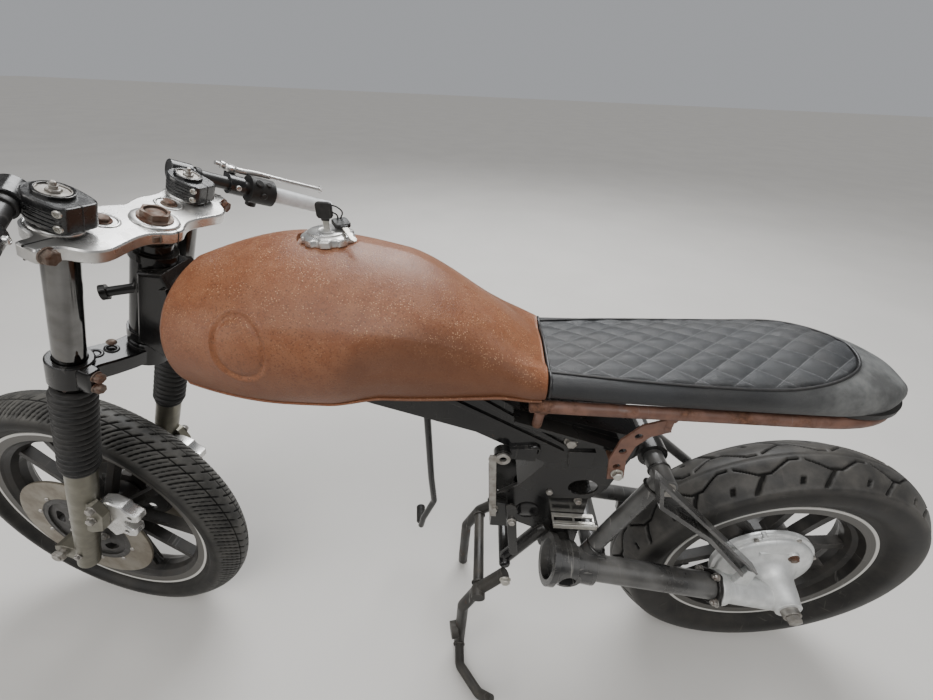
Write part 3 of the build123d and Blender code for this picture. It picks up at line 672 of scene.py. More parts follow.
def scuffs_effect(g: Graph, given: bpy.types.NodeOutputs) -> Sockets:
    """Draw fine scratches two ways across the surface.

    Args:
        g: The group's graph.
        given: Scale and amount of the scratches.

    Returns:
        Mask of the scratches.
    """
    at = g.here()
    masks = []
    for stretch, turn in (((9.0, 1.0, 60.0), 0.5), ((70.0, 1.2, 7.0), -0.35)):
        bent = g.node("ShaderNodeMapping", {"Vector": at, "Rotation": (turn, turn * 0.6, turn), "Scale": stretch})
        masks.append(g.fit(g.noise(given["Scale"], 2, 0.5, bent.outputs[0]), 0.66, 0.74))
    patchy = g.fit(g.noise(9.0, 3, 0.5), 0.42, 0.62)
    return {"Mask": g.times(g.math("MAXIMUM", *masks), patchy, given["Amount"], clamp=True)}


def axle_effect(g: Graph, given: bpy.types.NodeOutputs) -> Sockets:
    """Measure how far a point is from an axle, and how far along it.

    Args:
        g: The group's graph.
        given: Centre and axis of the axle.

    Returns:
        Both distances in metres.
    """
    at = g.vector("SUBTRACT", g.here(), given["Centre"])
    along = g.vector("DOT_PRODUCT", at, given["Axis"])
    square = g.math("SUBTRACT", g.vector("DOT_PRODUCT", at, at), g.times(along, along))
    return {"Radius": g.math("SQRT", square), "Along": g.math("ABSOLUTE", along)}


# effect: inputs with their usual values, outputs with their kinds, and what builds it
EFFECTS = {
    Effect.EDGES: ({"Radius": 0.0012, "Scale": 70.0, "Amount": 0.5}, {"Mask": "Float", "Normal": "Vector"},
                   edges_effect),
    Effect.RUST: ({"Scale": 14.0, "Cover": 0.4}, {"Mask": "Float", "Color": "Color", "Height": "Float"},
                  rust_effect),
    Effect.DUST: ({"Scale": 11.0, "Amount": 0.4}, {"Mask": "Float"}, dust_effect),
    Effect.GRAIN: ({"Scale": 700.0}, {"Height": "Float", "Mottle": "Float"}, grain_effect),
    Effect.SCUFFS: ({"Scale": 3.0, "Amount": 0.4}, {"Mask": "Float"}, scuffs_effect),
    Effect.AXLE: ({"Centre": (0.0, 0.0, 0.0), "Axis": (0.0, 1.0, 0.0)}, {"Radius": "Float", "Along": "Float"},
                  axle_effect),
}
Painted = tuple[Socket, Socket, Socket]
DUST_COLOUR: Colour = (0.21, 0.185, 0.15)
RUST_ROUGH, DUST_ROUGH, COAT_ROUGH = 0.88, 0.9, 0.12
# quilting: spacing of its lines along the seat, and how they lean
QUILT_PITCH, QUILT_SLOPE = 57.0, 0.72


@dataclass(frozen=True)
class Finish:
    """A plain finish: one mottled surface with its grain, wear, rust and dust."""

    name: str
    slot: str
    colour: Colour
    mottle: Colour
    rough: tuple[float, float] = (0.4, 0.6)
    metal: float = 0.0
    coat: float = 0.0
    shine: float = 0.5
    grain: float = 700.0
    depth: float = 0.00012
    edge: float = 0.0012
    wear: float = 0.4
    wear_colour: Colour = (0.32, 0.29, 0.26)
    rust: float = 0.0
    rust_scale: float = 16.0
    dust: float = 0.35
    scuffs: float = 0.3
    scuff_colour: Colour = (0.22, 0.21, 0.20)

    def paint(self, g: Graph) -> Painted:
        """Lay the bare surface, without its wear, rust and dust.

        Args:
            g: The material's graph.

        Returns:
            Colour, roughness and height.
        """
        grain = g.effect(Effect.GRAIN, scale=self.grain)
        return self.mottled(g, grain["Mottle"]), g.blend(grain["Mottle"], *self.rough), grain["Height"]

    def mottled(self, g: Graph, share: Socket) -> Socket:
        """Blend the finish's two colours."""
        return g.mix(share, self.colour, self.mottle)

    def material(self) -> bpy.types.Material:
        """Find the finish's material, building it the first time.

        Returns:
            The material.
        """
        if self.name in bpy.data.materials:
            return bpy.data.materials[self.name]
        made = bpy.data.materials.new(self.name)
        made.use_nodes = True
        g = Graph(made.node_tree)
        shader = made.node_tree.nodes["Principled BSDF"]
        colour, rough, height = self.paint(g)
        metal: object = self.metal
        edges = g.effect(Effect.EDGES, radius=self.edge, amount=self.wear)
        if self.scuffs:
            scuffs = g.effect(Effect.SCUFFS, amount=self.scuffs)["Mask"]
            colour = g.mix(scuffs, colour, self.scuff_colour)
        if self.wear:
            colour = g.mix(edges["Mask"], colour, self.wear_colour)
        if self.rust:
            rust = g.effect(Effect.RUST, scale=self.rust_scale, cover=self.rust)
            colour = g.mix(rust["Mask"], colour, rust["Color"])
            rough = g.blend(rust["Mask"], rough, RUST_ROUGH)
            metal = g.blend(rust["Mask"], metal, 0.0) if self.metal else metal
            height = g.math("ADD", height, g.times(rust["Height"], rust["Mask"], 1.5))
        if self.dust:
            dust = g.effect(Effect.DUST, amount=self.dust)["Mask"]
            colour = g.mix(dust, colour, DUST_COLOUR)
            rough = g.blend(dust, rough, DUST_ROUGH)
            metal = g.blend(dust, metal, 0.0) if self.metal else metal
        bump = g.node("ShaderNodeBump", {"Height": height, "Normal": edges["Normal"], "Strength": 0.8,
                                         "Distance": self.depth})
        for socket, value in (("Base Color", colour), ("Roughness", rough), ("Metallic", metal),
                              ("Normal", bump.outputs["Normal"]), ("Specular IOR Level", self.shine),
                              ("Coat Weight", self.coat)):
            g.give(shader.inputs[socket], value)
        if self.coat:
            shader.inputs["Coat Roughness"].default_value = COAT_ROUGH
        return made


@dataclass(frozen=True)
class TankRust(Finish):
    """Even orange rust on bare sheet steel, with painted shade where it faces down and in the knee recesses, and pale
    specks painted as glints where it faces up.
    """

    def paint(self, g: Graph) -> Painted:
        """Lay mottled rust with painted shade where the sheet faces down and in the knees, and pale, slightly raised
        specks painted as highlights where it faces up.

        Args:
            g: The material's graph.

        Returns:
            Colour, roughness and height.
        """
        slow = g.fit(g.noise(5.0, 5, 0.6, warp=0.4), 0.3, 0.7)
        mid = g.fit(g.noise(48.0, 6, 0.66), 0.34, 0.68)
        fine = g.noise(420.0, 4, 0.7)
        colour = g.mix(g.times(mid, 0.45), self.mottled(g, slow), (0.33, 0.150, 0.074))
        colour = g.mix(g.fit(fine, 0.50, 0.34, 0.0, 0.7), colour, (0.085, 0.028, 0.011))
        glint_specks = g.fit(g.cells(330.0), 0.30, 0.14)
        up = g.axes(g.normal())["Z"]
        # painted shade: the rust is darkened where the sheet faces down, away from the light above
        colour = g.mix(g.fit(up, 0.45, -0.25, 0.0, 0.5), colour, (0.105, 0.038, 0.016))
        # painted shade in the knee recesses: darker below a rough crest line, fading out towards the front
        at = g.axes(g.here())
        back = g.math("SUBTRACT", at["X"], 0.01)
        above = g.math("ADD", g.math("SUBTRACT", at["Z"], 0.94), g.times(back, back, 2.4))
        knee_shade = g.times(g.fit(above, 0.006, -0.022), g.fit(at["X"], 0.125, 0.0))
        colour = g.mix(g.times(knee_shade, 0.62), colour, (0.115, 0.043, 0.018))
        # painted highlights: pale specks glint mostly where the sheet faces up towards the light; they are also raised
        # a little
        lit = g.times(g.fit(up, 0.05, 0.85, 0.05, 0.75), g.fit(g.noise(34.0, 5, 0.65), 0.40, 0.60, 0.1, 1.0))
        share = g.times(glint_specks, lit)
        colour = g.mix(share, colour, (0.66, 0.40, 0.22))
        rough = g.blend(share, g.blend(fine, 0.30, 0.55), 0.36)
        return colour, rough, g.math("ADD", fine, g.times(glint_specks, 0.35))


@dataclass(frozen=True)
class RoundFinish(Finish):
    """Finish of a turning part, which changes at a radius from its axle."""

    axle: Matrix = field(default_factory=Matrix)
    # radius where it changes, and half the width there, in metres
    ring: float = 0.1
    half: float = 0.03

    def from_axle(self, g: Graph) -> bpy.types.NodeOutputs:
        """Measure the distances from the axle."""
        return g.effect(Effect.AXLE, centre=self.axle.translation, axis=self.axle.to_3x3().col[2].normalized())


@dataclass(frozen=True)
class WheelPaint(RoundFinish):
    """Black paint on a cast wheel, cut back to bright metal on the rim's edge."""

    def paint(self, g: Graph) -> Painted:
        """Lay black paint with a bare, slightly dull machined lip.

        Args:
            g: The material's graph.

        Returns:
            Colour, roughness and height.
        """
        colour, rough, height = super().paint(g)
        axle = self.from_axle(g)
        radius = axle["Radius"]
        outer = g.times(g.fit(radius, self.ring - 0.001, self.ring),
                        g.fit(axle["Along"], self.half - 0.013, self.half - 0.011))
        bare = g.mix(g.fit(g.turning(radius, 1400.0, 2, 0.5), 0.3, 0.7), (0.045, 0.043, 0.039), (0.105, 0.10, 0.09))
        bare = g.mix(g.fit(radius, self.ring + 0.0145, self.ring + 0.0165), bare, (0.56, 0.55, 0.52))
        return g.mix(outer, colour, bare), g.blend(outer, rough, 0.38), height


@dataclass(frozen=True)
class DiscSteel(RoundFinish):
    """Brake disc steel, turned by the pads and gone brown, on a dark carrier."""

    def paint(self, g: Graph) -> Painted:
        """Lay fine turned rings outside the carrier.

        Args:
            g: The material's graph.

        Returns:
            Colour, roughness and height.
        """
        radius = self.from_axle(g)["Radius"]
        turned = g.turning(radius, 1900.0, 3, 0.6)
        swept = g.fit(radius, self.ring + 0.002, self.ring + 0.004)
        film = g.fit(g.noise(20.0, 6, 0.6), 0.36, 0.66, 0.0, 0.55)
        steel = g.mix(film, self.mottled(g, turned), (0.115, 0.088, 0.060))
        return g.mix(swept, (0.035, 0.033, 0.031), steel), g.blend(swept, 0.5, g.blend(film, 0.34, 0.62)), turned


@dataclass(frozen=True)
class TreadRubber(RoundFinish):
    """Road tyre: worn grey crown, darker grooves and a dusty brown flank."""

    def paint(self, g: Graph) -> Painted:
        """Lay grey rubber where the road rubs it, and black in the grooves.

        Args:
            g: The material's graph.

        Returns:
            Colour, roughness and height.
        """
        crown = g.fit(self.from_axle(g)["Radius"], self.ring - 0.012, self.ring + 0.006)
        deep = g.kept("groove")
        top = self.mottled(g, g.fit(g.noise(24.0, 6, 0.6), 0.3, 0.7))
        side = g.mix(g.fit(g.noise(14.0, 7, 0.65), 0.35, 0.72), (0.008, 0.0078, 0.0075), (0.024, 0.022, 0.019))
        colour = g.mix(deep, g.mix(crown, side, top), (0.004, 0.004, 0.004))
        rough = g.blend(deep, g.blend(crown, 0.55, 0.50), 0.9)
        return colour, rough, g.noise(900.0, 3, 0.6)


@dataclass(frozen=True)
class QuiltedHide(Finish):
    """Charcoal synthetic leather: quilted panel with pale stitches, plain sides and a dusty tail."""

    pitch: float = QUILT_PITCH
    slope: float = QUILT_SLOPE
    # stitches to a metre
    stitches: float = 160.0

    def paint(self, g: Graph) -> Painted:
        """Lay pebbled hide, with stitches along the quilting lines.

        Args:
            g: The material's graph.

        Returns:
            Colour, roughness and height.
        """
        panel, cowl = g.kept("panel"), g.kept("cowl")
        at = g.axes(g.here())
        stitches: object = 0.0
        for lean in (1.0, -1.0):
            line = g.times(g.math("ADD", at["X"], g.times(at["Y"], lean / self.slope)), 1000.0 / self.pitch)
            gap = g.math("ABSOLUTE", g.math("SUBTRACT", g.math("FRACT", g.math("ADD", line, 0.5)), 0.5))
            run = g.times(g.math("SUBTRACT", at["X"], g.times(at["Y"], lean * self.slope)), self.stitches)
            dash = g.fit(g.math("ABSOLUTE", g.math("SUBTRACT", g.math("FRACT", run), 0.5)), 0.46, 0.38)
            stitches = g.math("MAXIMUM", stitches, g.times(g.fit(gap, 0.017, 0.010), dash))
        stitches = g.times(stitches, panel)
        pebble = g.cells(620.0, "DISTANCE_TO_EDGE")
        slow = g.fit(g.noise(9.0, 5, 0.6), 0.32, 0.7)
        film = g.times(cowl, g.fit(g.noise(18.0, 8, 0.68), 0.34, 0.66, 0.25, 0.85))
        colour = self.mottled(g, slow)
        for share, over in ((g.times(panel, 0.4), (0.060, 0.064, 0.068)), (film, (0.19, 0.195, 0.19)),
                            (g.times(stitches, 0.55), (0.24, 0.245, 0.25))):
            colour = g.mix(share, colour, over)
        height = g.math("ADD", g.fit(pebble, 0.0, 0.25), g.times(stitches, 3.0))
        return colour, g.blend(cowl, g.blend(slow, *self.rough), 0.66), height


TANK = TankRust("rusted tank sheet", "rusted_steel", (0.195, 0.066, 0.026), (0.275, 0.098, 0.038), depth=0.0005,
                edge=0.0015, wear=0.0, dust=0.05, scuffs=0.0)
RUSTY = Finish("rusty steel tube", "rusted_steel", (0.125, 0.060, 0.042), (0.19, 0.095, 0.066), (0.42, 0.62),
               grain=420, depth=0.0002, wear=0.5, wear_colour=(0.30, 0.19, 0.14), rust=0.30, dust=0.10)
FRAME = Finish("black frame enamel", "black_frame", (0.0075, 0.0075, 0.008), (0.014, 0.0135, 0.013), (0.14, 0.30),
               coat=0.3, shine=0.3, grain=90, depth=0.00022, wear=0.5, wear_colour=(0.12, 0.105, 0.09), rust=0.07,
               rust_scale=22, dust=0.10, scuff_colour=(0.11, 0.105, 0.095))
SHAFT = replace(FRAME, name="rubbed shaft enamel", colour=(0.020, 0.020, 0.0205), mottle=(0.10, 0.10, 0.098),
                rough=(0.20, 0.36), coat=0.35, shine=0.5, depth=0.0002, wear=0.8, wear_colour=(0.30, 0.29, 0.27),
                rust=0.05, dust=0.30, scuffs=0.6, scuff_colour=(0.30, 0.29, 0.27))
STAND = Finish("worn stand enamel", "black_frame", (0.014, 0.0135, 0.0125), (0.028, 0.0265, 0.024), (0.32, 0.52),
               shine=0.35, grain=160, depth=0.0003, wear=0.7, rust=0.14, rust_scale=20, dust=0.30, scuffs=0.6)
BLACK_BAR = Finish("black bar", "black_frame", (0.014, 0.014, 0.014), (0.026, 0.025, 0.024), (0.28, 0.45), coat=0.2,
                   grain=500, depth=0.00006, dust=0.10)
ALLOY = Finish("polished clamp alloy", "cast_alloy", (0.74, 0.735, 0.72), (0.56, 0.55, 0.53), (0.20, 0.38),
               metal=0.85, grain=260, wear=0.3, wear_colour=(0.80, 0.79, 0.77), dust=0.10, scuffs=0.4,
               scuff_colour=(0.30, 0.285, 0.26))
SLIDER = Finish("dull fork alloy", "cast_alloy", (0.215, 0.205, 0.165), (0.185, 0.175, 0.14), (0.30, 0.40),
                metal=0.8, grain=420, depth=0.00014, wear=0.35, wear_colour=(0.58, 0.57, 0.54), dust=0.16,
                scuffs=0.5, scuff_colour=(0.17, 0.16, 0.135))
CASTING = Finish("silver final drive", "drive_alloy", (0.74, 0.75, 0.745), (0.62, 0.63, 0.62), (0.30, 0.46),
                 metal=0.4, grain=420, depth=0.00025, wear=0.5, wear_colour=(0.80, 0.80, 0.79), dust=0.16,
                 scuffs=0.4, scuff_colour=(0.16, 0.15, 0.135))
CHROME = Finish("hard chrome", "chrome_tube", (0.185, 0.183, 0.18), (0.135, 0.132, 0.128), (0.07, 0.14), metal=1.0,
                grain=300, depth=0.00003, wear=0.0, rust=0.06, rust_scale=30, dust=0.05,
                scuff_colour=(0.20, 0.17, 0.14))
STEEL = Finish("plain steel", "steel_parts", (0.42, 0.405, 0.38), (0.29, 0.27, 0.245), (0.34, 0.55), metal=0.85,
               grain=500, rust=0.16, rust_scale=26, dust=0.12)
ZINC = Finish("bright zinc", "steel_parts", (0.60, 0.59, 0.55), (0.47, 0.45, 0.40), (0.28, 0.45), metal=0.9,
              grain=500, depth=0.0001, rust=0.08, rust_scale=30, dust=0.1, scuffs=0.4)
BROWN_BOLT = Finish("rusty bolt", "steel_parts", (0.20, 0.155, 0.125), (0.115, 0.078, 0.058), (0.38, 0.6),
                    metal=0.45, grain=600, depth=0.00015, rust=0.34, rust_scale=40, dust=0.06)
FRONT_WHEEL_PAINT = WheelPaint("front wheel paint", "black_wheel", (0.016, 0.0155, 0.015), (0.034, 0.031, 0.028),
                               (0.30, 0.48), shine=0.28, grain=240, dust=0.06, wear=0.35, axle=FRONT_AXLE,
                               ring=0.2325, half=0.032)
REAR_WHEEL_PAINT = replace(FRONT_WHEEL_PAINT, name="rear wheel paint", dust=0.07, axle=REAR_AXLE, ring=0.1955,
                           half=0.044)
DISC = DiscSteel("brake disc steel", "steel_parts", (0.26, 0.235, 0.185), (0.17, 0.15, 0.115), metal=0.55,
                 depth=0.00006, rust=0.05, rust_scale=30, dust=0.12, scuffs=0.0, axle=FRONT_AXLE, ring=0.097)
CARRIER = Finish("black disc carrier", "black_alloy", (0.014, 0.0135, 0.013), (0.030, 0.028, 0.026), (0.4, 0.58),
                 grain=500, depth=0.0001, wear=0.5, wear_colour=(0.2, 0.19, 0.17), rust=0.08, dust=0.2, scuffs=0.2)
ANODISED = Finish("black anodised clamp", "black_alloy", (0.010, 0.010, 0.0105), (0.018, 0.018, 0.018),
                  (0.18, 0.32), coat=0.3, grain=900, depth=0.00004, wear=0.3, wear_colour=(0.30, 0.30, 0.30),
                  dust=0.05, scuffs=0.25)
FRONT_TREAD = TreadRubber("front tyre rubber", "tyre_rubber", (0.030, 0.0295, 0.028), (0.080, 0.077, 0.070),
                          shine=0.3, depth=0.00015, edge=0.0006, wear=0.0, dust=0.07,
                          scuff_colour=(0.11, 0.10, 0.09), axle=FRONT_AXLE, ring=0.298)
REAR_TREAD = replace(FRONT_TREAD, name="rear tyre rubber", colour=(0.026, 0.0255, 0.0245),
                     mottle=(0.066, 0.062, 0.056), shine=0.35, dust=0.09, scuffs=0.25,
                     scuff_colour=(0.12, 0.11, 0.095), axle=REAR_AXLE, ring=0.287)
RUBBER = Finish("moulded rubber", "soft_rubber", (0.011, 0.011, 0.0112), (0.022, 0.0215, 0.021), (0.42, 0.6),
                shine=0.3, grain=900, edge=0.0006, wear=0.2, wear_colour=(0.06, 0.055, 0.05), dust=0.16, scuffs=0.2,
                scuff_colour=(0.07, 0.065, 0.06))
HIDE = QuiltedHide("quilted seat leather", "seat_leather", (0.015, 0.016, 0.0175), (0.024, 0.026, 0.029),
                   (0.34, 0.46), depth=0.00025, edge=0.0006, wear=0.0, dust=0.10, scuffs=0.0)
PIPING = Finish("black piping", "seat_leather", (0.010, 0.010, 0.011), (0.020, 0.020, 0.021), (0.3, 0.45),
                grain=1200, depth=0.0001, edge=0.0004, wear=0.0, dust=0.1, scuffs=0.0)
PLASTIC = Finish("black plastic", "black_plastic", (0.013, 0.013, 0.013), (0.024, 0.023, 0.022), (0.4, 0.55),
                 shine=0.35, grain=1100, edge=0.0008, wear=0.25, wear_colour=(0.08, 0.075, 0.07), dust=0.12,
                 scuffs=0.2)
SLEEVE = Finish("white throttle sleeve", "white_plastic", (0.78, 0.80, 0.81), (0.68, 0.69, 0.70), (0.3, 0.5),
                grain=500, depth=0.00006, wear=0.3, wear_colour=(0.40, 0.38, 0.34), dust=0.06, scuffs=0.4,
                scuff_colour=(0.26, 0.25, 0.24))

# finish of each piece whose CAD shape shows
NODE_FINISH: dict[str, Finish] = {
    "steering_head": FRAME, "backbone": FRAME, "seat_pan": PLASTIC, "seat_brackets": RUSTY, "brake_pedal": FRAME,
    "swingarm": SHAFT, "shock_absorber": FRAME, "rear_axle": STEEL, "brake_panel": CASTING,
    "brake_torque_rod": STEEL, "stem_nut": BROWN_BOLT, "fork_tubes": CHROME, "fork_caps": STEEL,
    "slider_left": SLIDER, "slider_right": SLIDER, "front_axle": STEEL, "handlebars": BLACK_BAR,
    "throttle_tube": SLEEVE, "switch_right": PLASTIC, "lever_perches": ANODISED, "front_wheel": FRONT_WHEEL_PAINT,
    "front_discs": CARRIER, "rear_wheel": REAR_WHEEL_PAINT, "centre_stand": STAND,
}


# Room


@dataclass
class Studio:
    """Pale floor, soft lights and the camera."""

    focal: float = 15.466
    sensor: float = 36.0
    camera_at: Point = (-0.07615, 0.53807, 1.19534)
    yaw: float = 0.8558
    pitch: float = 34.0273
    roll: float = -2.5555
    floor_half: float = 40.0
    fill_light: float = 0.15
    backdrop: float = 0.40
    floor_colour: Colour = (0.60, 0.585, 0.56)
    # name, place of the light, point it shines at, width, height, watts, colour
    lights: tuple = (("ceiling", (-0.35, -2.7, 4.0), (-0.1, 0.0, 0.6), 3.6, 1.9, 230, (0.98, 0.99, 1.0)),
                     ("window", (-0.3, 2.6, 4.6), (-0.1, 0.0, 0.5), 2.4, 1.8, 60, (1.0, 0.985, 0.96)),
                     ("front", (3.8, 2.4, 2.4), (0.4, 0.0, 0.5), 1.9, 1.9, 50, (1.0, 0.97, 0.93)))
    # strength, spread and tilt of the even light from above
    sky_light: float = 1.6
    sky_spread: float = 1.5
    sky_tilt: float = -0.45

    def build(self) -> None:
        """Lay the floor, hang the lights and set the camera."""
        self.lay_floor()
        self.hang_lights()
        self.set_camera()

    def lay_floor(self) -> None:
        """Lay a large pale floor with faint clouding."""
        s = self.floor_half
        mesh = bpy.data.meshes.new("floor")
        mesh.from_pydata([(-s, -s, 0), (s, -s, 0), (s, s, 0), (-s, s, 0)], [], [(0, 1, 2, 3)])
        look = bpy.data.materials.new("pale floor")
        look.use_nodes = True
        g = Graph(look.node_tree)
        shader = look.node_tree.nodes["Principled BSDF"]
        pale = self.floor_colour
        tone = g.mix(g.fit(g.noise(1.6, 5, 0.55), 0.3, 0.7), pale, tuple(0.95 * c for c in pale))
        look.node_tree.links.new(tone, shader.inputs["Base Color"])
        shader.inputs["Roughness"].default_value = 0.75
        shader.inputs["Specular IOR Level"].default_value = 0.0
        mesh.materials.append(look)
        floor = in_scene("floor", mesh)

    def hang_lights(self) -> None:
        """Hang the soft area lights, the even light from above and the fill light."""
        for name, at, target, width, height, watts, colour in self.lights:
            light = bpy.data.lights.new(name, "AREA")
            light.shape, light.size, light.size_y = "RECTANGLE", width, height
            light.energy, light.color = watts, colour
            lamp = in_scene(name, light)
            lamp.location = at
            lamp.rotation_euler = (Vector(target) - Vector(at)).to_track_quat("-Z", "Y").to_euler()
        even = bpy.data.lights.new("even light", "SUN")
        even.energy, even.angle = self.sky_light, self.sky_spread
        in_scene("even light", even).rotation_euler = (self.sky_tilt, 0.0, 0.0)
        world = bpy.data.worlds.new("room light")
        world.use_nodes = True
        g = Graph(world.node_tree)
        seen = g.node("ShaderNodeLightPath").outputs["Is Camera Ray"]
        sky = world.node_tree.nodes["Background"]
        sky.inputs["Color"].default_value = (0.94, 0.96, 1.0, 1)
        world.node_tree.links.new(g.blend(seen, self.fill_light, self.backdrop), sky.inputs["Strength"])
        bpy.context.scene.world = world

    def set_camera(self) -> None:
        """Set the camera where the photograph was taken from."""
        lens = bpy.data.cameras.new("camera")
        lens.sensor_fit, lens.sensor_width, lens.lens = "HORIZONTAL", self.sensor, self.focal
        lens.clip_start = 0.02
        at = Matrix.Translation(self.camera_at)
        for angle, axis in ((180 + self.yaw, "Z"), (90 - self.pitch, "X"), (-self.roll, "Z")):
            at = spun(at, math.radians(angle), axis)
        camera = in_scene("camera", lens)
        camera.matrix_world = at
        bpy.context.scene.camera = camera


def dress_nodes() -> None:
    """Give each piece that keeps its CAD shape its finish."""
    for name, finish in NODE_FINISH.items():
        node = bpy.data.objects[name]
        node.data.materials.clear()
        node.data.materials.append(finish.material())


# Wheels

# height of the fine lines moulded round a tyre's flank
FLANK_LINE = 0.42


class Tread(Enum):
    """Groove patterns."""

    DIAGONAL = "close diagonal sipes"
    ZIGZAG = "wide zigzag grooves"


@dataclass
class Tyre:
    """Road tyre with a cut tread, in place of the plain tyre of the frame.

    The cross-section is the frame's own, a little inside it.
    """

    name: str
    node: str
    body: Body
    at: Matrix
    finish: Finish
    tread: Tread
    outer_r: float
    half: float
    rim_r: float
    bead_half: float
    rows: int = 90
    steps: int = 1090
    repeats: int = 30
    depth: float = 4.0

    def section(self) -> tuple[np.ndarray, np.ndarray, np.ndarray]:
        """Cross-section from bead to bead.

        Returns:
            Radii, distances from the middle, and outward normals as (radius, across) pairs.
        """
        flank_r = (self.rim_r + self.outer_r - 30) / 2
        corners = [(self.rim_r + 1, -self.bead_half), (self.rim_r + 9, -self.bead_half - 3),
                   (flank_r, 1.6 - self.half), (self.outer_r - 31, 4.6 - self.half)]
        crown = [(self.outer_r - 30.6 * (abs(v) / (self.half - 4.6)) ** 2.15, v)
                 for v in np.linspace(4.6 - self.half, self.half - 4.6, 19)]
        corners = corners[:3] + crown + [(r, -v) for r, v in reversed(corners[:3])]
        line = spline(corners, 12)
        run = np.concatenate([[0], np.cumsum(np.linalg.norm(np.diff(line, axis=0), axis=1))])
        share = np.linspace(-1, 1, self.rows)
        even = run[-1] * (0.5 + 0.5 * (0.72 * share + 0.28 * share ** 5))
        radii, across = np.interp(even, run, line[:, 0]), np.interp(even, run, line[:, 1])
        slope = np.stack([np.gradient(radii), np.gradient(across)], -1)
        slope /= np.linalg.norm(slope, axis=1)[:, None]
        return radii, across, np.stack([slope[:, 1], -slope[:, 0]], -1)

    def cut(self, turn: np.ndarray, across: np.ndarray) -> np.ndarray:
        """How deep the tread is cut at each point.

        Args:
            turn: Angle round the tyre as a share of the pattern's repeat.
            across: Distance from the middle in millimetres.

        Returns:
            Depth from zero to one.
        """
        side = np.abs(across) / self.half

        def groove(offset: np.ndarray, width: float, *ends: float) -> np.ndarray:
            """Depth of a groove from the distance to its line, in repeats, between its ends."""
            gap = np.abs((offset + 0.5) % 1.0 - 0.5)
            there = smooth_step(ends[0], ends[1], side) * (1 - smooth_step(ends[2], ends[3], side))
            return (1 - smooth_step(width * 0.55, width, gap)) * there

        if self.tread is Tread.DIAGONAL:
            slant = turn * 2 - 1.6 * (1.15 * np.sign(across) * side + 0.25 * side)
            main = groove(slant, 0.115, 0.06, 0.12, 0.80, 0.9)
            fine = groove(slant + 0.5, 0.07, 0.34, 0.42, 0.84, 0.93)
            rib = (1 - smooth_step(0.010, 0.024, np.abs(side - 0.30))) * 0.9
            return np.maximum.reduce([main, 0.8 * fine, rib])
        staggered = turn + 0.5 * (across < 0)
        zig = 0.30 + 0.15 * np.clip(1.7 * (np.abs((staggered % 1.0) - 0.5) * 4 - 1), -1, 1)
        main = 1 - smooth_step(0.022, 0.042, np.abs(side - zig))
        broken = smooth_step(0.02, 0.06, np.abs(((staggered + 0.08) % 1.0) - 0.5))
        arms = groove(staggered - 0.55 * (side - 0.45), 0.05, 0.44, 0.50, 0.84, 0.90)
        slots = groove(staggered - 0.5 - 0.30 * (side - 0.6), 0.045, 0.60, 0.64, 0.76, 0.80)
        centre = (1 - smooth_step(0.010, 0.024, side)) * 0.8
        return np.maximum.reduce([main * broken, arms, slots, centre])

    def build(self) -> None:
        """Mesh the tyre and put it in place of its node."""
        radii, across, normals = self.section()
        angles = np.linspace(0, TAU, self.steps, endpoint=False)
        deep = self.cut(*np.meshgrid(angles / TAU * self.repeats, across, indexing="ij"))
        deep *= smooth_step(self.outer_r - 46, self.outer_r - 36, radii)
        lines = sum(np.exp(-(radii - r) ** 2) for r in (self.rim_r + 7, self.rim_r + 13, self.outer_r - 38))
        cut = deep * self.depth + FLANK_LINE * lines
        radius = radii - cut * normals[:, 0]
        turned = [radius * np.cos(angles)[:, None], radius * np.sin(angles)[:, None], across - cut * normals[:, 1]]
        grid = moved(np.stack(turned, -1), self.at)
        shape = Shape().grid(grid, wrap_rows=True).grid(grid[:, [-1, 0]], wrap_rows=True)
        groove = np.concatenate([smooth_step(0.15, 0.7, deep).ravel(), np.zeros(2 * self.steps)])
        shape.make(self.name, self.body, self.finish, 70.0, self.node, {"groove": groove})


@dataclass
class WheelFittings:
    """Brake rings, their rivets and bolts, and the valves of both wheels."""

    # how far the front disc's carrier stands from the middle, and the ring's radii and thickness
    carrier: float = 60.4
    ring: tuple[float, float] = (97.0, 150.0)
    ring_faces: tuple[float, float] = (59.3, 64.7)
    bolt_circle: float = 38.0
    rivet_circle: float = 104.0
    # name, body, axle, radius of the rim's well and angle of each valve
    valves: tuple = (("front_valve", Body.FRONT_WHEEL, FRONT_AXLE, 219.0, 2.2),
                     ("rear_valve", Body.REAR_WHEEL, REAR_AXLE, 182.0, 0.55))

    def build(self) -> None:
        """Fit both wheels."""
        for side, word in SIDES:
            face = spun(shifted(FRONT_AXLE, 0, 0, side * self.carrier), 0 if side > 0 else math.pi, "X")
            bolts, rivets = Shape(), Shape()
            for k in range(5):
                bolts.hex_head(shifted(spun(face, TAU * (k + 0.5) / 5), self.bolt_circle), 13, 6.5, 10)
            bolts.make(f"disc_bolts_{word}", Body.FRONT_WHEEL, STEEL)
            for k in range(10):
                rivets.lathe([(0, 3.2), (3.2, 3.0), (4.6, 2.0), (5.2, 0.4), (5.4, -1.2)],
                             shifted(spun(face, TAU * k / 10), self.rivet_circle, 0, 3.6), 16)
            rivets.make(f"disc_rivets_{word}", Body.FRONT_WHEEL, STEEL)
            inner, outer = self.ring
            low, high = sorted(side * z for z in self.ring_faces)
            ring = [(inner, low), (inner, high), (outer - 0.6, high), (outer, high - 0.6), (outer, low + 0.6),
                    (outer - 0.6, low)]
            Shape().lathe(ring, FRONT_AXLE, 128, True).make(f"brake_ring_{word}", Body.FRONT_WHEEL, DISC)
        for name, body, axle, well, angle in self.valves:
            foot = spun(shifted(spun(axle, angle), well), -math.pi / 2, "Y")
            stem = [(0, 38), (2.6, 38), (3.9, 36.5), (4.1, 27), (3.2, 26.4), (3.3, 22), (4.6, 20), (6.0, 4), (8.6, 1.6),
                    (9.0, -1.0)]
            Shape().lathe(stem, foot, 20).make(name, body, RUBBER)


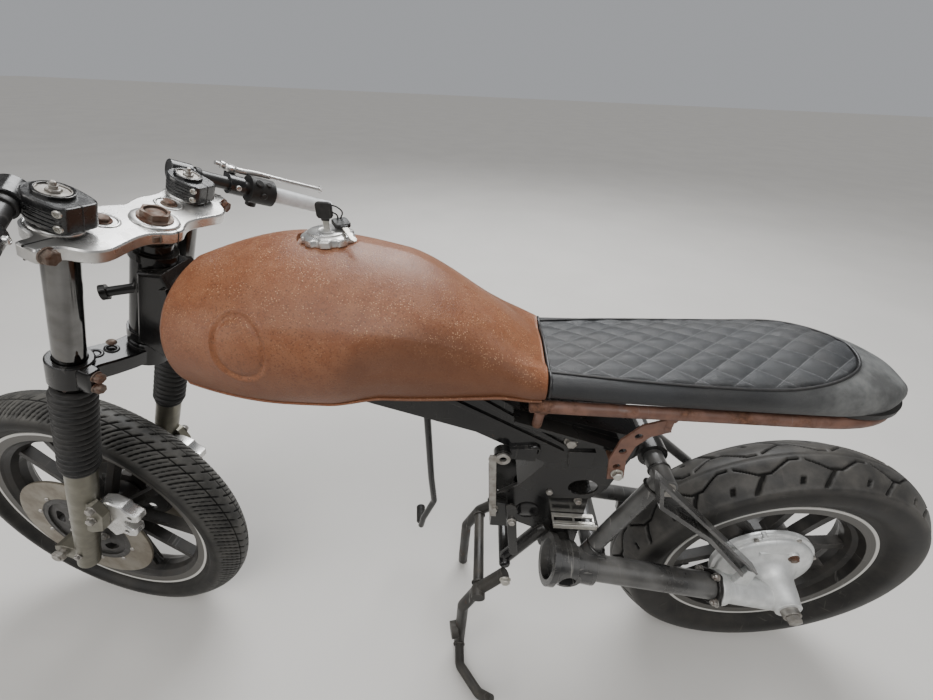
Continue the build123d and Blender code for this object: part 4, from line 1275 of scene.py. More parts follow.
FRONT_TYRE = Tyre("front_tyre_tread", "front_tyre", Body.FRONT_WHEEL, FRONT_AXLE, FRONT_TREAD, Tread.DIAGONAL,
                  328.0, 49.0, 254.0, 31.0, repeats=42)
REAR_TYRE = Tyre("rear_tyre_tread", "rear_tyre", Body.REAR_WHEEL, REAR_AXLE, REAR_TREAD, Tread.ZIGZAG,
                 319.0, 65.0, 217.0, 43.0, repeats=16, depth=5.0)


# Fuel tank


def arc(a: Sequence[float], b: Sequence[float], c: Sequence[float], count: int) -> np.ndarray:
    """Points on the arc from a through b to c.

    Args:
        a: Start.
        b: A point on the way.
        c: End.
        count: Number of points.

    Returns:
        The points, ends included.
    """
    (ax, ay), (bx, by), (cx, cy) = a, b, c
    d = 2 * (ax * (by - cy) + bx * (cy - ay) + cx * (ay - by))
    sa, sb, sc = ax * ax + ay * ay, bx * bx + by * by, cx * cx + cy * cy
    mid = np.array([(sa * (by - cy) + sb * (cy - ay) + sc * (ay - by)) / d,
                    (sa * (cx - bx) + sb * (ax - cx) + sc * (bx - ax)) / d])
    start, way, end = (math.atan2(p[1] - mid[1], p[0] - mid[0]) for p in (a, b, c))
    way, sweep = (way - start) % TAU, (end - start) % TAU
    if way > sweep:
        sweep -= TAU
    t = start + sweep * np.linspace(0, 1, count)
    r = math.hypot(ax - mid[0], ay - mid[1])
    return np.stack([mid[0] + r * np.cos(t), mid[1] + r * np.sin(t)], -1)


def cut_out(piece: bpy.types.Object, crease: float, *tools: Shape) -> None:
    """Cut closed shapes out of a piece.

    Args:
        piece: The piece.
        crease: Edges sharper than this many degrees stay sharp.
        tools: Shapes to cut out, in turn.
    """
    for tool in tools:
        subtract(piece, tool)
    piece.data.set_sharp_from_angle(angle=math.radians(crease))


def subtract(piece: bpy.types.Object, tool: Shape) -> None:
    """Take one closed shape from a piece.

    Args:
        piece: The piece.
        tool: The shape.
    """
    mesh = bpy.data.meshes.new("cutter")
    mesh.from_pydata(np.vstack(tool.points).tolist(), [], tool.faces)
    bm = bmesh.new()
    bm.from_mesh(mesh)
    bmesh.ops.remove_doubles(bm, verts=bm.verts, dist=1e-7)
    bmesh.ops.recalc_face_normals(bm, faces=bm.faces)
    bm.to_mesh(mesh)
    bm.free()
    cutter = in_scene("cutter", mesh)
    step = piece.modifiers.new("cut", "BOOLEAN")
    step.operation, step.solver, step.object = "DIFFERENCE", "EXACT", cutter
    bpy.context.view_layer.update()
    done = bpy.data.meshes.new_from_object(piece.evaluated_get(bpy.context.evaluated_depsgraph_get()))
    piece.modifiers.clear()
    piece.data = done
    bpy.data.objects.remove(cutter)


@dataclass
class Tank:
    """Rusted fuel tank with knee recesses, badge rings left blank, and a seam round its floor."""

    # x, floor z, floor half width, widest half width and its z, shoulder half width and z, top z
    table: tuple = ((-185, 818, 98, 102, 832, 55, 848, 856), (-100, 815, 112, 122, 855, 62, 905, 920),
                    (30, 815, 125, 146, 875, 80, 968, 994), (170, 814, 128, 152, 880, 90, 985, 1010),
                    (320, 822, 105, 125, 870, 80, 950, 972), (352, 850, 60, 74, 880, 50, 925, 940))
    # x, z of the crest above the knee recess
    crest: tuple = ((-185, 850), (-150, 888), (-100, 917), (-40, 934), (20, 939), (60, 932), (100, 890), (130, 845))
    recess: float = 13.0
    badge: tuple[float, float] = (209.0, 911.0)
    badge_size: tuple[float, float] = (32.5, 38.5)
    tunnel: tuple = ((400, 700), (400, 940), (250, 912), (60, 842), (-90, 797), (-161, 757), (-400, 712), (-400, 700))
    tunnel_half: float = 53.0
    cap: Point = (129.0, 0.0, 1002.8)
    # section of the folded seam, from the edge of the floor
    fold: tuple = ((-3.5, 0.2), (1.6, 0.4), (2.6, -0.6), (2.6, -2.2), (1.6, -3.0), (-3.5, -3.0))
    ends: tuple[float, float] = (-183.5, 350.0)
    rows: int = 190
    crease: float = 46.0

    def half_section(self, row: Sequence[float]) -> np.ndarray:
        """Left half of a section, from the middle of the floor up to the crown.

        Args:
            row: A row of the table.

        Returns:
            Points as (y, z).
        """
        _, floor_z, floor_w, side_w, side_z, shoulder_w, shoulder_z, top_z = row
        floor = np.stack([np.linspace(0, floor_w, 10), np.full(10, floor_z)], -1)
        side = arc((floor_w, floor_z), (side_w, side_z), (shoulder_w, shoulder_z), 60)
        crown = arc((shoulder_w, shoulder_z), (0, top_z), (-shoulder_w, shoulder_z), 41)[:21]
        line = np.vstack([floor[:-1], side, crown[1:]])
        for step in range(60):
            around = slice(50, 88)
            line[around] = 0.5 * line[around] + 0.25 * (line[49:87] + line[51:89])
            if step < 4:
                line[7:12] = 0.5 * line[7:12] + 0.25 * (line[6:11] + line[8:13])
        return line

    def pressed(self, x: float, line: np.ndarray) -> np.ndarray:
        """Move a half section in where the sheet is pressed.

        Args:
            x: Where the section is.
            line: Its points as (y, z).

        Returns:
            The moved points.
        """
        run = np.gradient(line, axis=0)
        out = np.stack([run[:, 1], -run[:, 0]], -1) / np.linalg.norm(run, axis=1)[:, None]
        y, z = line[:, 0], line[:, 1]
        side = smooth_step(40, 62, y)
        crest_z = np.interp(x, *np.array(self.crest).T)
        below = 1 - smooth_step(crest_z - 60, crest_z + 8, z)
        lengthways = float(smooth_step(-182, -110, x) * (1 - smooth_step(40, 118, x)))
        deep = self.recess * below * lengthways * (0.8 + 0.2 * smooth_step(812, 850, z))
        ring = np.hypot((x - self.badge[0]) / self.badge_size[0], (z - self.badge[1]) / self.badge_size[1])
        deep = deep + 3.0 * np.exp(-((ring - 1.0) / 0.07) ** 2) + 1.0 * (1 - smooth_step(0.9, 1.02, ring))
        deep = deep - 1.0 * np.exp(-((ring - 1.16) / 0.07) ** 2)
        return line - (deep * side)[:, None] * out

    def build(self) -> None:
        """Mesh the tank, cut its tunnel and the seat of its cap, and add its seam."""
        back, front = self.ends
        stations = [(x, x, 1.0) for x in np.linspace(back, front, self.rows)]
        nose = [(front + 11 * math.sin(t), front, math.cos(t) ** 0.75)
                for t in np.linspace(0.15, math.pi / 2 - 0.04, 12)]
        tail = [(back - 2.6 * math.sin(t), back, 1 - 0.045 * (1 - math.cos(t)))
                for t in np.linspace(math.pi / 2, 0.2, 5)]
        rings = []
        for at, x, size in tail + stations + nose:
            line = self.sheet(x)
            middle = np.array([0.0, (line[0, 1] + line[-1, 1]) / 2])
            line = middle + (line - middle) * size
            whole = np.vstack([line, line[-2:0:-1] * (-1, 1)])
            rings.append(np.column_stack([np.full(len(whole), at), whole]))
        shape = Shape().stack(np.array(rings) * MM, over=True)
        piece = shape.make("fuel_tank_shell", Body.CHASSIS, TANK, self.crease, "fuel_tank")
        tunnel = Shape().slab(self.tunnel, -self.tunnel_half, self.tunnel_half, SIDE_ON, 0.01)
        seat = Shape().lathe([(0, 0), (40, 0), (41.5, 0.6), (44, 30), (0, 30)], facing(self.cap, (0, 0, 1)), 64)
        cut_out(piece, self.crease, tunnel, seat)
        self.seam()

    def sheet(self, x: float) -> np.ndarray:
        """Left half of the pressed sheet at a place along the tank."""
        return self.pressed(x, self.half_section(row_between(np.array(self.table, float), x)))

    def seam(self) -> None:
        """Run the folded seam round the floor, outside the tunnel."""
        edge = [(x, *(self.sheet(x)[10] + (1.2, -0.4))) for x in np.linspace(-180, 342, 150)]
        for side, word in SIDES:
            strip = [[(x, side * (y + dy), z + dz) for dy, dz in self.fold] for x, y, z in edge]
            Shape().stack(np.array(strip) * MM, over=True).make(f"tank_seam_{word}", Body.CHASSIS, TANK, 60.0)


# Seat


@dataclass
class Seat:
    """Moulded seat: quilted panel inside a piped edge, plain sides and a smooth dusty tail."""

    # x, half width of the underside, widest half width and its z, shoulder half width and z, top z
    table: tuple = ((-752, 16, 17, 827, 12, 831, 834), (-740, 36, 37, 831, 27, 837, 842),
                    (-715, 62, 64, 837, 46, 849, 858), (-660, 92, 95, 842, 70, 863, 877),
                    (-590, 103, 107, 844, 84, 869, 885), (-500, 103, 107, 843, 85, 863, 875),
                    (-400, 102, 106, 841, 83, 857, 867), (-290, 100, 104, 838, 76, 852, 861),
                    (-190, 96, 100, 836, 68, 848, 856))
    # x, half width of the quilted panel
    panel: tuple = ((-654, 0), (-652, 14), (-645, 34), (-630, 55), (-600, 76), (-560, 90), (-500, 96), (-400, 93),
                    (-310, 87), (-250, 81), (-188, 74))
    under_z: float = 822.0
    # first and last full section, and the inset and place of each ring that rounds the front off
    ends: tuple[float, float] = (-751.0, -190.5)
    lip: tuple = ((0.8, -189.5), (2.2, -189.0), (5.0, -188.8))
    pitch: float = QUILT_PITCH
    slope: float = QUILT_SLOPE
    swell: float = 3.4
    rows: int = 300
    columns: int = 150

    def section(self, x: float) -> np.ndarray:
        """Section over the seat from its left lower edge to its right one.

        Args:
            x: Where the section is.

        Returns:
            Points as (y, z), evenly spaced.
        """
        _, base_w, side_w, side_z, shoulder_w, shoulder_z, top_z = row_between(np.array(self.table, float), x)
        side = arc((base_w, self.under_z), (side_w, side_z), (shoulder_w, shoulder_z), 40)
        crown = arc((shoulder_w, shoulder_z), (0, top_z), (-shoulder_w, shoulder_z), 41)
        line = np.vstack([side[:-1], crown, side[-2::-1] * (-1, 1)])
        for _ in range(40):
            line[1:-1] = 0.5 * line[1:-1] + 0.25 * (line[:-2] + line[2:])
        run = np.concatenate([[0], np.cumsum(np.linalg.norm(np.diff(line, axis=0), axis=1))])
        even = np.linspace(0, run[-1], self.columns)
        return np.stack([np.interp(even, run, line[:, 0]), np.interp(even, run, line[:, 1])], -1)

    def panel_share(self, x: np.ndarray, y: np.ndarray, z: np.ndarray) -> np.ndarray:
        """How far inside the quilted panel each point lies.

        Args:
            x: Places along the seat.
            y: Places across it.
            z: Heights.

        Returns:
            Millimetres inside the panel's edge, roughly.
        """
        edge = np.array(self.panel)
        width = np.interp(x, edge[:, 0], edge[:, 1], left=-30)
        ahead = np.interp(np.abs(y), edge[:8, 1], edge[:8, 0])
        inside = np.minimum(width - np.abs(y), (x - ahead) * 0.9)
        return np.where(z > self.under_z + 14, inside, -20.0)

    def lifted(self, grid: np.ndarray, inside: np.ndarray, share: np.ndarray) -> np.ndarray:
        """Lift the surface into pillows, with a dip and fine puckers along the panel's edge.

        Args:
            grid: Points of the flat pad.
            inside: How far inside the panel each one lies.
            share: How much of the quilting each one shows.

        Returns:
            The lifted points.
        """
        x, y = grid[..., 0], grid[..., 1]
        normal = np.cross(np.gradient(grid, axis=0), np.gradient(grid, axis=1))
        normal /= np.linalg.norm(normal, axis=2)[:, :, None]
        normal *= np.sign(normal[:, self.columns // 2, 2]).mean()
        pillows = np.ones_like(x)
        for lean in (1.0, -1.0):
            pillows *= np.abs(np.sin(math.pi * ((x + lean * y / self.slope) / self.pitch))) ** 0.55
        dip = 1.6 * np.exp(-((inside - 0.5) / 2.0) ** 2)
        pucker = np.sin(x * 0.9 + 7 * np.sin(y * 0.07)) * np.exp(-((inside - 7) / 4.0) ** 2)
        lift = share * (self.swell * pillows - 0.6) - dip + 0.16 * pucker
        return grid + lift[:, :, None] * normal

    def front_rings(self) -> np.ndarray:
        """Round the front end off.

        Returns:
            Rings of points, each a little smaller than the one behind it.
        """
        middle = np.array([0, self.under_z])
        spread = self.section(self.ends[1]) - middle
        reach = np.maximum(np.linalg.norm(spread, axis=1), 1)[:, None]
        return np.array([np.column_stack([np.full(self.columns, x), middle + spread * (1 - inset / reach)])
                         for inset, x in self.lip])

    def build(self) -> None:
        """Mesh the pad with its quilting, then its piping."""
        grid = np.array([[(x, y, z) for y, z in self.section(x)] for x in np.linspace(*self.ends, self.rows)])
        inside = self.panel_share(*np.moveaxis(grid, 2, 0))
        panel = smooth_step(1.0, 6.0, inside)
        cowl = smooth_step(-470, -640, grid[..., 0]) * (1 - smooth_step(-3, 1, inside))
        whole = np.vstack([self.lifted(grid, inside, panel), self.front_rings()])
        shape = Shape().grid(whole * MM).grid(whole[:, [-1, 0]] * MM)
        tip, count = (self.lip[-1][1], 0, self.under_z + 12), self.columns
        shape.add(np.vstack([whole[-1], tip]) * MM, [(i, (i + 1) % count, count) for i in range(count)])
        shape.add(whole[0] * MM, [range(count)])
        plain = np.zeros(shape.count - grid[..., 0].size)
        kept = {key: np.concatenate([values.ravel(), plain]) for key, values in (("panel", panel), ("cowl", cowl))}
        piece = shape.make("seat_pad_quilted", Body.CHASSIS, HIDE, 50.0, "seat_pad", kept)
        self.piping()

    def on_top(self, x: float, y: float, lift: float) -> Point:
        """Find a point over the seat's surface.

        Args:
            x: Place along the seat.
            y: Place across it.
            lift: Height over the surface.

        Returns:
            The point.
        """
        line = self.section(min(x, self.ends[1]))
        picked = [i for i in np.argsort(line[:, 0]) if line[i, 1] > self.under_z + 12]
        return (x, y, float(np.interp(y, line[picked, 0], line[picked, 1])) + lift)

    def piping(self) -> None:
        """Lay piping round the panel and down the front edge."""
        edge = np.array(self.panel)
        left = [(x, w + 0.6) for x, w in edge[1:]]
        outline = spline([(x, -w) for x, w in reversed(left)] + [(-655, 0)] + left, 14)
        route = [self.on_top(max(x, -656), y, 0.5) for x, y in outline]
        Shape().tube(route, 2.3, sides=12).make("seat_piping", Body.CHASSIS, PIPING)
        front = [(self.ends[1] + 0.3, y * 1.003, z + 0.4) for y, z in self.section(self.ends[1])[::3]]
        Shape().tube(front, 2.3, sides=12).make("seat_front_piping", Body.CHASSIS, PIPING)


# Fork, controls, frame and stand


class Head(Enum):
    """Kinds of fastener head."""

    HEX = "hexagon head"
    DOME = "domed rivet"


@dataclass(frozen=True)
class Bolts:
    """Row of like fasteners on one body, as a table of places."""

    name: str
    body: Body
    at: Matrix
    finish: Finish
    head: Head
    # point, direction out, size across or radius, height, washer radius
    table: tuple

    def build(self) -> None:
        """Fit the row's fasteners."""
        shape = Shape()
        for point, out, size, height, washer in self.table:
            face = facing(point, out, self.at)
            if self.head is Head.HEX:
                shape.hex_head(face, size, height, washer)
            else:
                dome = [(0, height), (size * 0.5, height * 0.9), (size * 0.85, height * 0.55), (size, 0)]
                shape.lathe(dome, face, 20)
        shape.make(self.name, self.body, self.finish)


def bar_point(side: int, out: float, forward: float = 0.0, up: float = 0.0) -> Point:
    """Point beside a handlebar, in the steering's millimetres.

    Args:
        side: 1 for the left bar, -1 for the right one.
        out: Distance out along the bar from its clamp.
        forward: Distance in front of the bar.
        up: Height over it.

    Returns:
        The point.
    """
    lift = 815.0 if side > 0 else 809.5
    return (61.7 - 0.571 * out + 0.819 * forward, side * (119.1 + 0.815 * out + 0.574 * forward),
            lift - 0.101 * out + up)


def round_bar(side: int, out: float) -> Matrix:
    """Place on a handlebar's axis, with Z out along it."""
    return facing(bar_point(side, out), np.subtract(bar_point(side, 10), bar_point(side, 0)), STEERING)


@dataclass
class Fork:
    """Rubber gaiters, bolts, clips and studs of the front fork and its clamps."""

    leg_x: float = 33.0
    leg_y: float = 99.0
    low: float = 312.8
    high: float = 522.0
    folds: int = 14
    tube_r: float = 19.0
    # height of the left and the right leg's top
    tops: tuple[float, float] = (833.0, 824.0)

    def build(self) -> None:
        """Fit both legs and both clamps."""
        for (side, word), top in zip(SIDES, self.tops):
            leg = shifted(STEERING, self.leg_x, side * self.leg_y)
            shape = Shape().lathe(self.bellows(), leg, 72, closed=True)
            shape.make(f"gaiter_{word}", Body.STEERING, RUBBER, 60.0, "fork_gaiters" if side > 0 else "")
            self.cap_details(shifted(leg, 0, 0, top)).make(f"fork_cap_details_{word}", Body.STEERING, STEEL)
            self.foot_details(side).make(f"axle_studs_{word}", Body.STEERING, STEEL)
        for row in FORK_BOLTS:
            row.build()

    def bellows(self) -> list[tuple[float, float]]:
        """Draw a gaiter's profile, with a collar at each end.

        Returns:
            Points as (radius, height).
        """
        low, high = self.low, self.high
        profile = [(self.tube_r, low), (24.2, low), (25.6, low + 1), (25.8, low + 6.5), (24.6, low + 7.5)]
        pitch = (high - low - 17) / self.folds
        for fold in range(self.folds):
            for t in np.linspace(0, 1, 11)[:-1]:
                profile.append((24.3 + 4.7 * math.sin(math.pi * t) ** 0.8, low + 8 + (fold + t) * pitch))
        return profile + [(24.3, high - 9), (25.5, high - 7.5), (25.5, high - 1), (24.4, high), (self.tube_r, high)]

    def cap_details(self, top: Matrix) -> Shape:
        """Shape the clip ring, hexagon and air valve in a tube's top.

        Args:
            top: Place in the tube's top.

        Returns:
            The shape.
        """
        clip = [(14.9 * math.cos(t), 14.9 * math.sin(t), -1.2) for t in np.linspace(0.3, 5.9, 40)]
        shape = Shape().tube(clip, 0.9, top, 8).hex_head(shifted(top, 0, 0, -2.4), 13, 3.4)
        return shape.lathe([(0, 10.4), (2.2, 10.4), (3, 9.6), (3, 5)], shifted(top, 0, 0, -1), 18)

    def foot_details(self, side: int) -> Shape:
        """Shape a leg's axle studs and drain bolt.

        Args:
            side: 1 for the left leg, -1 for the right one.

        Returns:
            The shape.
        """
        foot = Shape()
        for x, z in ((56, -19), (86, -14)):
            base = facing((x, side * (self.leg_y + 6), z + 2), (0, 0, -1), STEERING)
            foot.hex_head(base, 12, 7.5, 8.5).lathe([(0, 13), (2.8, 13), (3.6, 12.2), (3.6, 6)], base, 16)
        return foot.hex_head(facing((self.leg_x, side * (self.leg_y + 21.2), 18), (0, side, 0), STEERING), 10, 5, 7.5)


FORK_BOLTS = (
    Bolts("upper_clamp_bolts", Body.STEERING, STEERING, BROWN_BOLT, Head.HEX,
          (((2, 141, 780), (-1, 0, 0), 16, 8, 10.5), ((2, -141, 780), (-1, 0, 0), 16, 8, 10.5),
           ((-21, 20, 780), (0.25, 1, 0), 14, 8, 9))),
    Bolts("lower_clamp_bolts", Body.STEERING, STEERING, BROWN_BOLT, Head.HEX,
          tuple(((-8, side * 103, z), (-1, 0, 0), 13, 9, 8.5) for side in (1, -1) for z in (547, 569))),
    Bolts("clamp_studs", Body.STEERING, STEERING, BROWN_BOLT, Head.DOME,
          (((22, 46, 580), (0, 0, 1), 7, 3, 0), ((22, -46, 580), (0, 0, 1), 7, 3, 0))),
    Bolts("bracket_bolts", Body.STEERING, STEERING, STEEL, Head.HEX,
          tuple(((4, side * 113, z), (0, side, 0), 14, 7, 9.5) for side in (1, -1) for z in (176, 212))),
)


@dataclass
class Controls:
    """Bolts, cable adjusters, switches and plugs on the handlebars."""

    # where each bar ends
    ends: tuple[float, float] = (250.0, 270.0)
    # forward and up of each side's adjuster
    adjusters: tuple = ((-1, 25, 18), (1, 32, 6))
    # out, forward, up, radius and height of each button on the right bar
    buttons: tuple = ((116, -14, 18, 6, 6), (134, -12, 19, 4.5, 4), (124, -22, 2, 5, 5))

    def build(self) -> None:
        """Fit both bars."""
        dark, adjusters, buttons = Shape(), Shape(), Shape()
        for (side, _), end in zip(SIDES, self.ends):
            dark.lathe([(0, 2.2), (8, 2.0), (10.6, 0.8), (11.1, -4)], round_bar(side, end), 28)
            dark.lathe([(11.2, 0), (13.4, 0.3), (13.8, 1.5), (13.8, 6.5), (13.4, 7.7), (11.2, 8)],
                       round_bar(side, 20), 28)
        dark.make("bar_plugs_and_collars", Body.STEERING, PLASTIC)
        for side, forward, up in self.adjusters:
            outer = bar_point(side, 82, forward + 4, up)
            run = np.subtract(bar_point(side, 58, forward + 2, up + 2), outer)
            size = float(np.linalg.norm(run))
            adjusters.lathe([(0, 0), (4.6, 0), (4.6, 8), (6.2, 9), (6.4, 10), (6.4, 15), (6.0, 16), (3.6, 16.5),
                             (3.6, size), (0, size)], facing(outer, run, STEERING), 24)
            back = np.subtract(bar_point(side, 82, -20, 4), bar_point(side, 82))
            adjusters.socket_head(facing(bar_point(side, 82, -15.5, 3), back, STEERING), 4.4, 4.5)
        adjusters.make("cable_adjusters", Body.STEERING, ALLOY)
        for out, forward, up, radius, height in self.buttons:
            away = np.subtract(bar_point(-1, out, forward, up), bar_point(-1, out))
            buttons.lathe([(0, height), (radius - 1, height), (radius, height - 1), (radius, -1)],
                          facing(bar_point(-1, out, forward * 0.97, up * 0.97), away, STEERING), 24)
        buttons.make("switch_buttons", Body.STEERING, PLASTIC)


def weld(shape: Shape, centre: Sequence[float], axis: Sequence[float], radius: float, bead: float = 2.6) -> None:
    """Lay a rippled weld bead round a tube's joint.

    Args:
        shape: Shape that the bead is added to.
        centre: Centre of the ring, in millimetres.
        axis: Axis of the ring.
        radius: Radius of its line.
        bead: Thickness of the bead.
    """
    face = facing(centre, axis)
    count = max(24, int(radius * 2.2))
    turns = np.linspace(0, TAU, count, endpoint=False)
    ring = [(radius * math.cos(t), radius * math.sin(t), 0.35 * math.sin(5 * t)) for t in turns]
    shape.tube(ring, [bead * (1 + 0.22 * math.sin(count * 0.5 * t)) for t in turns], face, 8, loop=True)


@dataclass
class Chassis:
    """Welds, bolts, nuts and small fittings of the frame, swingarm, drive, brake and stand."""

    # centre, axis and radius of each weld on the frame
    frame_welds: tuple = (((-425, 46, 625), (0, 1, 0), 18), ((-425, -46, 625), (0, 1, 0), 18),
                          ((-346, 80, 431), (-95, -16, 225), 17.5), ((-346, -80, 431), (-95, 16, 225), 17.5),
                          ((-415, 65, 601), (-95, -16, 225), 17), ((-415, -65, 601), (-95, 16, 225), 17),
                          ((-136, 43, 505), (0, 1, 0), 10), ((12, -46, 742), (0, 1, 0), 9.5),
                          ((-196, 49, 660), (0, 1, 0), 9))
    loop_welds: tuple = (((-186, 86, 792), (0, 0.2, 1), 9.5), ((-186, -86, 792), (0, -0.2, 1), 9.5))
    stand_welds: tuple = (((-119, 84, 263), (0, 1, 0), 13), ((-119, -84, 263), (0, 1, 0), 13),
                          ((-84, 118, 23), (0, 1, 0), 12))

    def build(self) -> None:
        """Add every fitting."""
        for name, body, finish, rows in (("frame_welds", Body.CHASSIS, FRAME, self.frame_welds),
                                         ("loop_welds", Body.CHASSIS, RUSTY, self.loop_welds),
                                         ("stand_welds", Body.STAND, STAND, self.stand_welds)):
            shape = Shape()
            for centre, axis, radius in rows:
                weld(shape, centre, axis, radius)
            shape.make(name, body, finish)
        self.drive_flange()
        for row in CHASSIS_BOLTS:
            row.build()

    def drive_flange(self) -> None:
        """Clamp the shaft tube to the final drive with a flange, nuts and studs."""
        face = facing((-606, 98, 335.6), (-268, 0, -48))
        outline = [(33 + 7.5 * max(0.0, math.cos(4 * t)) ** 2) * np.array([math.cos(t), math.sin(t)])
                   for t in np.linspace(0, TAU, 72, endpoint=False)]
        Shape().slab(outline, -9, -1, face, 1.2).make("shaft_flange", Body.CHASSIS, FRAME)
        nuts = Shape()
        for k in range(4):
            spot = spun(shifted(spun(face, k * math.pi / 2), 34.5, 0, -9), math.pi, "X")
            nuts.hex_head(spot, 12, 7, 8).lathe([(0, 13), (2.9, 13), (3.8, 12), (3.8, 6)], spot, 14)
        nuts.make("shaft_flange_nuts", Body.CHASSIS, STEEL)


CHASSIS_BOLTS = (
    Bolts("seat_bracket_bolts", Body.CHASSIS, WORLD, ZINC, Head.HEX,
          tuple(((-327, side * 92.2, 664), (0, side, 0), 15, 8, 10) for side in (1, -1))),
    Bolts("loop_rivets", Body.CHASSIS, WORLD, RUSTY, Head.DOME,
          tuple(((-378, side * 92.2, 770), (0, side, 0), 6, 3, 0) for side in (1, -1))),
    Bolts("frame_bolts", Body.CHASSIS, WORLD, STEEL, Head.HEX,
          (((-136, 64.2, 512), (0, 1, 0), 11, 6, 7.5), ((-170, 82.2, 500), (0, 1, 0), 12, 6, 8),
           ((-240, 42.2, 545), (0, 1, 0), 12, 6, 8), ((-300, 42.2, 520), (0, 1, 0), 12, 6, 8),
           ((-136, -60.2, 505), (0, -1, 0), 15, 7, 10), ((-256, 45.2, 684), (0, 1, 0), 17, 8, 12),
           ((-256, -45.2, 684), (0, -1, 0), 17, 8, 12), ((-425, 86.2, 625), (0, 1, 0), 20, 9, 14),
           ((-425, -82.2, 625), (0, -1, 0), 20, 9, 14), ((380, 38.2, 860), (0, 1, 0), 10, 5, 7))),
    Bolts("drive_cover_nuts", Body.CHASSIS, REAR_AXLE, STEEL, Head.HEX,
          tuple(((101.5 * math.cos(a), 101.5 * math.sin(a), 34), (0, 0, 1), 9, 5, 0)
                for a in np.radians((20, 68, 200, 250, 300, 340)))),
    Bolts("filler_plug", Body.CHASSIS, WORLD, BROWN_BOLT, Head.HEX, (((-776, 57, 386), (0, 1, 0), 16, 5, 11),)),
    Bolts("axle_nuts", Body.CHASSIS, WORLD, STEEL, Head.HEX,
          (((-750, 144, 323), (0, 1, 0), 24, 11, 0), ((-750, -113, 323), (0, -1, 0), 24, 11, 15))),
    Bolts("brake_rod_nuts", Body.CHASSIS, WORLD, STEEL, Head.HEX,
          (((-694, -83, 268), (0, -1, 0), 13, 7, 9), ((-470, -83, 326), (0, -1, 0), 13, 7, 9),
           ((-790, -82, 382), (0, -1, 0), 10, 5, 0), ((-837, -82, 316), (0, -1, 0), 8, 5, 0))),
    Bolts("stand_pivot_bolts", Body.STAND, WORLD, ZINC, Head.HEX,
          tuple(((-173, side * 103, 322), (0, side, 0), 17, 8, 12) for side in (1, -1))),
)


# Forms that stand in for plainer shapes of the frame


@dataclass
class UpperClamp:
    """Polished upper fork clamp with raised rims, a stud boss and the stem's cap."""

    half: tuple = ((45, 0), (50, 18), (53, 38), (52, 58), (56, 76), (62, 92), (62.5, 106), (57, 119), (45, 127),
                   (30, 131), (26, 138), (25.5, 148), (21, 152), (6, 152), (1.5, 148), (0.5, 138), (-4, 127),
                   (-18, 117), (-25.5, 105), (-27, 92), (-24, 72), (-21, 52), (-22, 34), (-28, 20), (-33, 11), (-34, 0))
    low: float = 770.6
    high: float = 788.6
    rim_top: float = 791.9
    # x, y, inner and outer radius of each rim
    rims: tuple = ((33, 99, 18.8, 25.5), (33, -99, 18.8, 25.5), (0, 0, 13.2, 28))
    stud: tuple[float, float] = (24.0, 53.0)

    def build(self) -> None:
        """Cast the plate and its rims, and fit the cap, the studs and thin black blocks painted as shade in the slits.
        """
        high, top = self.high, self.rim_top
        plate = Shape().slab(spline(mirrored(self.half), 5, loop=True), self.low, high, STEERING, 2.2)
        for x, y, inner, outer in self.rims:
            plate.lathe([(inner, high - 3), (inner, top - 0.5), (inner + 0.6, top), (outer - 1.4, top),
                         (outer - 0.3, top - 0.7), (outer + 0.9, high - 0.6), (outer + 1, high - 3)],
                        shifted(STEERING, x, y), 64, closed=True)
        # painted shade: thin black blocks stand in for the dark gaps of the clamp's slits
        slit_shades = Shape()
        cap = Shape().lathe([(0, 801.2), (9, 801.2), (10.2, 800.6), (12.6, 799.4), (12.9, 796)], STEERING, 40)
        for side, _ in SIDES:
            stud = shifted(STEERING, self.stud[0], side * self.stud[1], high)
            plate.lathe([(15.2, -1), (15.2, 0.9), (16, 1.5), (17.4, 1.5), (18.4, 0.7), (18.8, -1)], stud, 48, True)
            cap.hex_head(shifted(stud, 0, 0, -0.4), 15, 4, 10.5)
            self.slit(slit_shades, mirror(STEERING, side), 14.4, 16.0, 120, 152.3)
        self.slit(slit_shades, STEERING, -34.3, -26, -0.9, 0.9)
        plate.make("upper_clamp_cast", Body.STEERING, ALLOY, 40.0, "upper_clamp")
        slit_shades.make("upper_clamp_slits", Body.STEERING, PLASTIC)
        cap.make("stem_cap_and_studs", Body.STEERING, BROWN_BOLT)

    def slit(self, shape: Shape, at: Matrix, back: float, front: float, inner: float, outer: float) -> None:
        """Draw a slit through the plate as a thin black block: painted shade standing in for its gap."""
        corners = [(back, inner), (front, inner), (front, outer), (back, outer)]
        shape.slab(corners, self.low - 0.15, self.high + 0.15, at, 0.05)


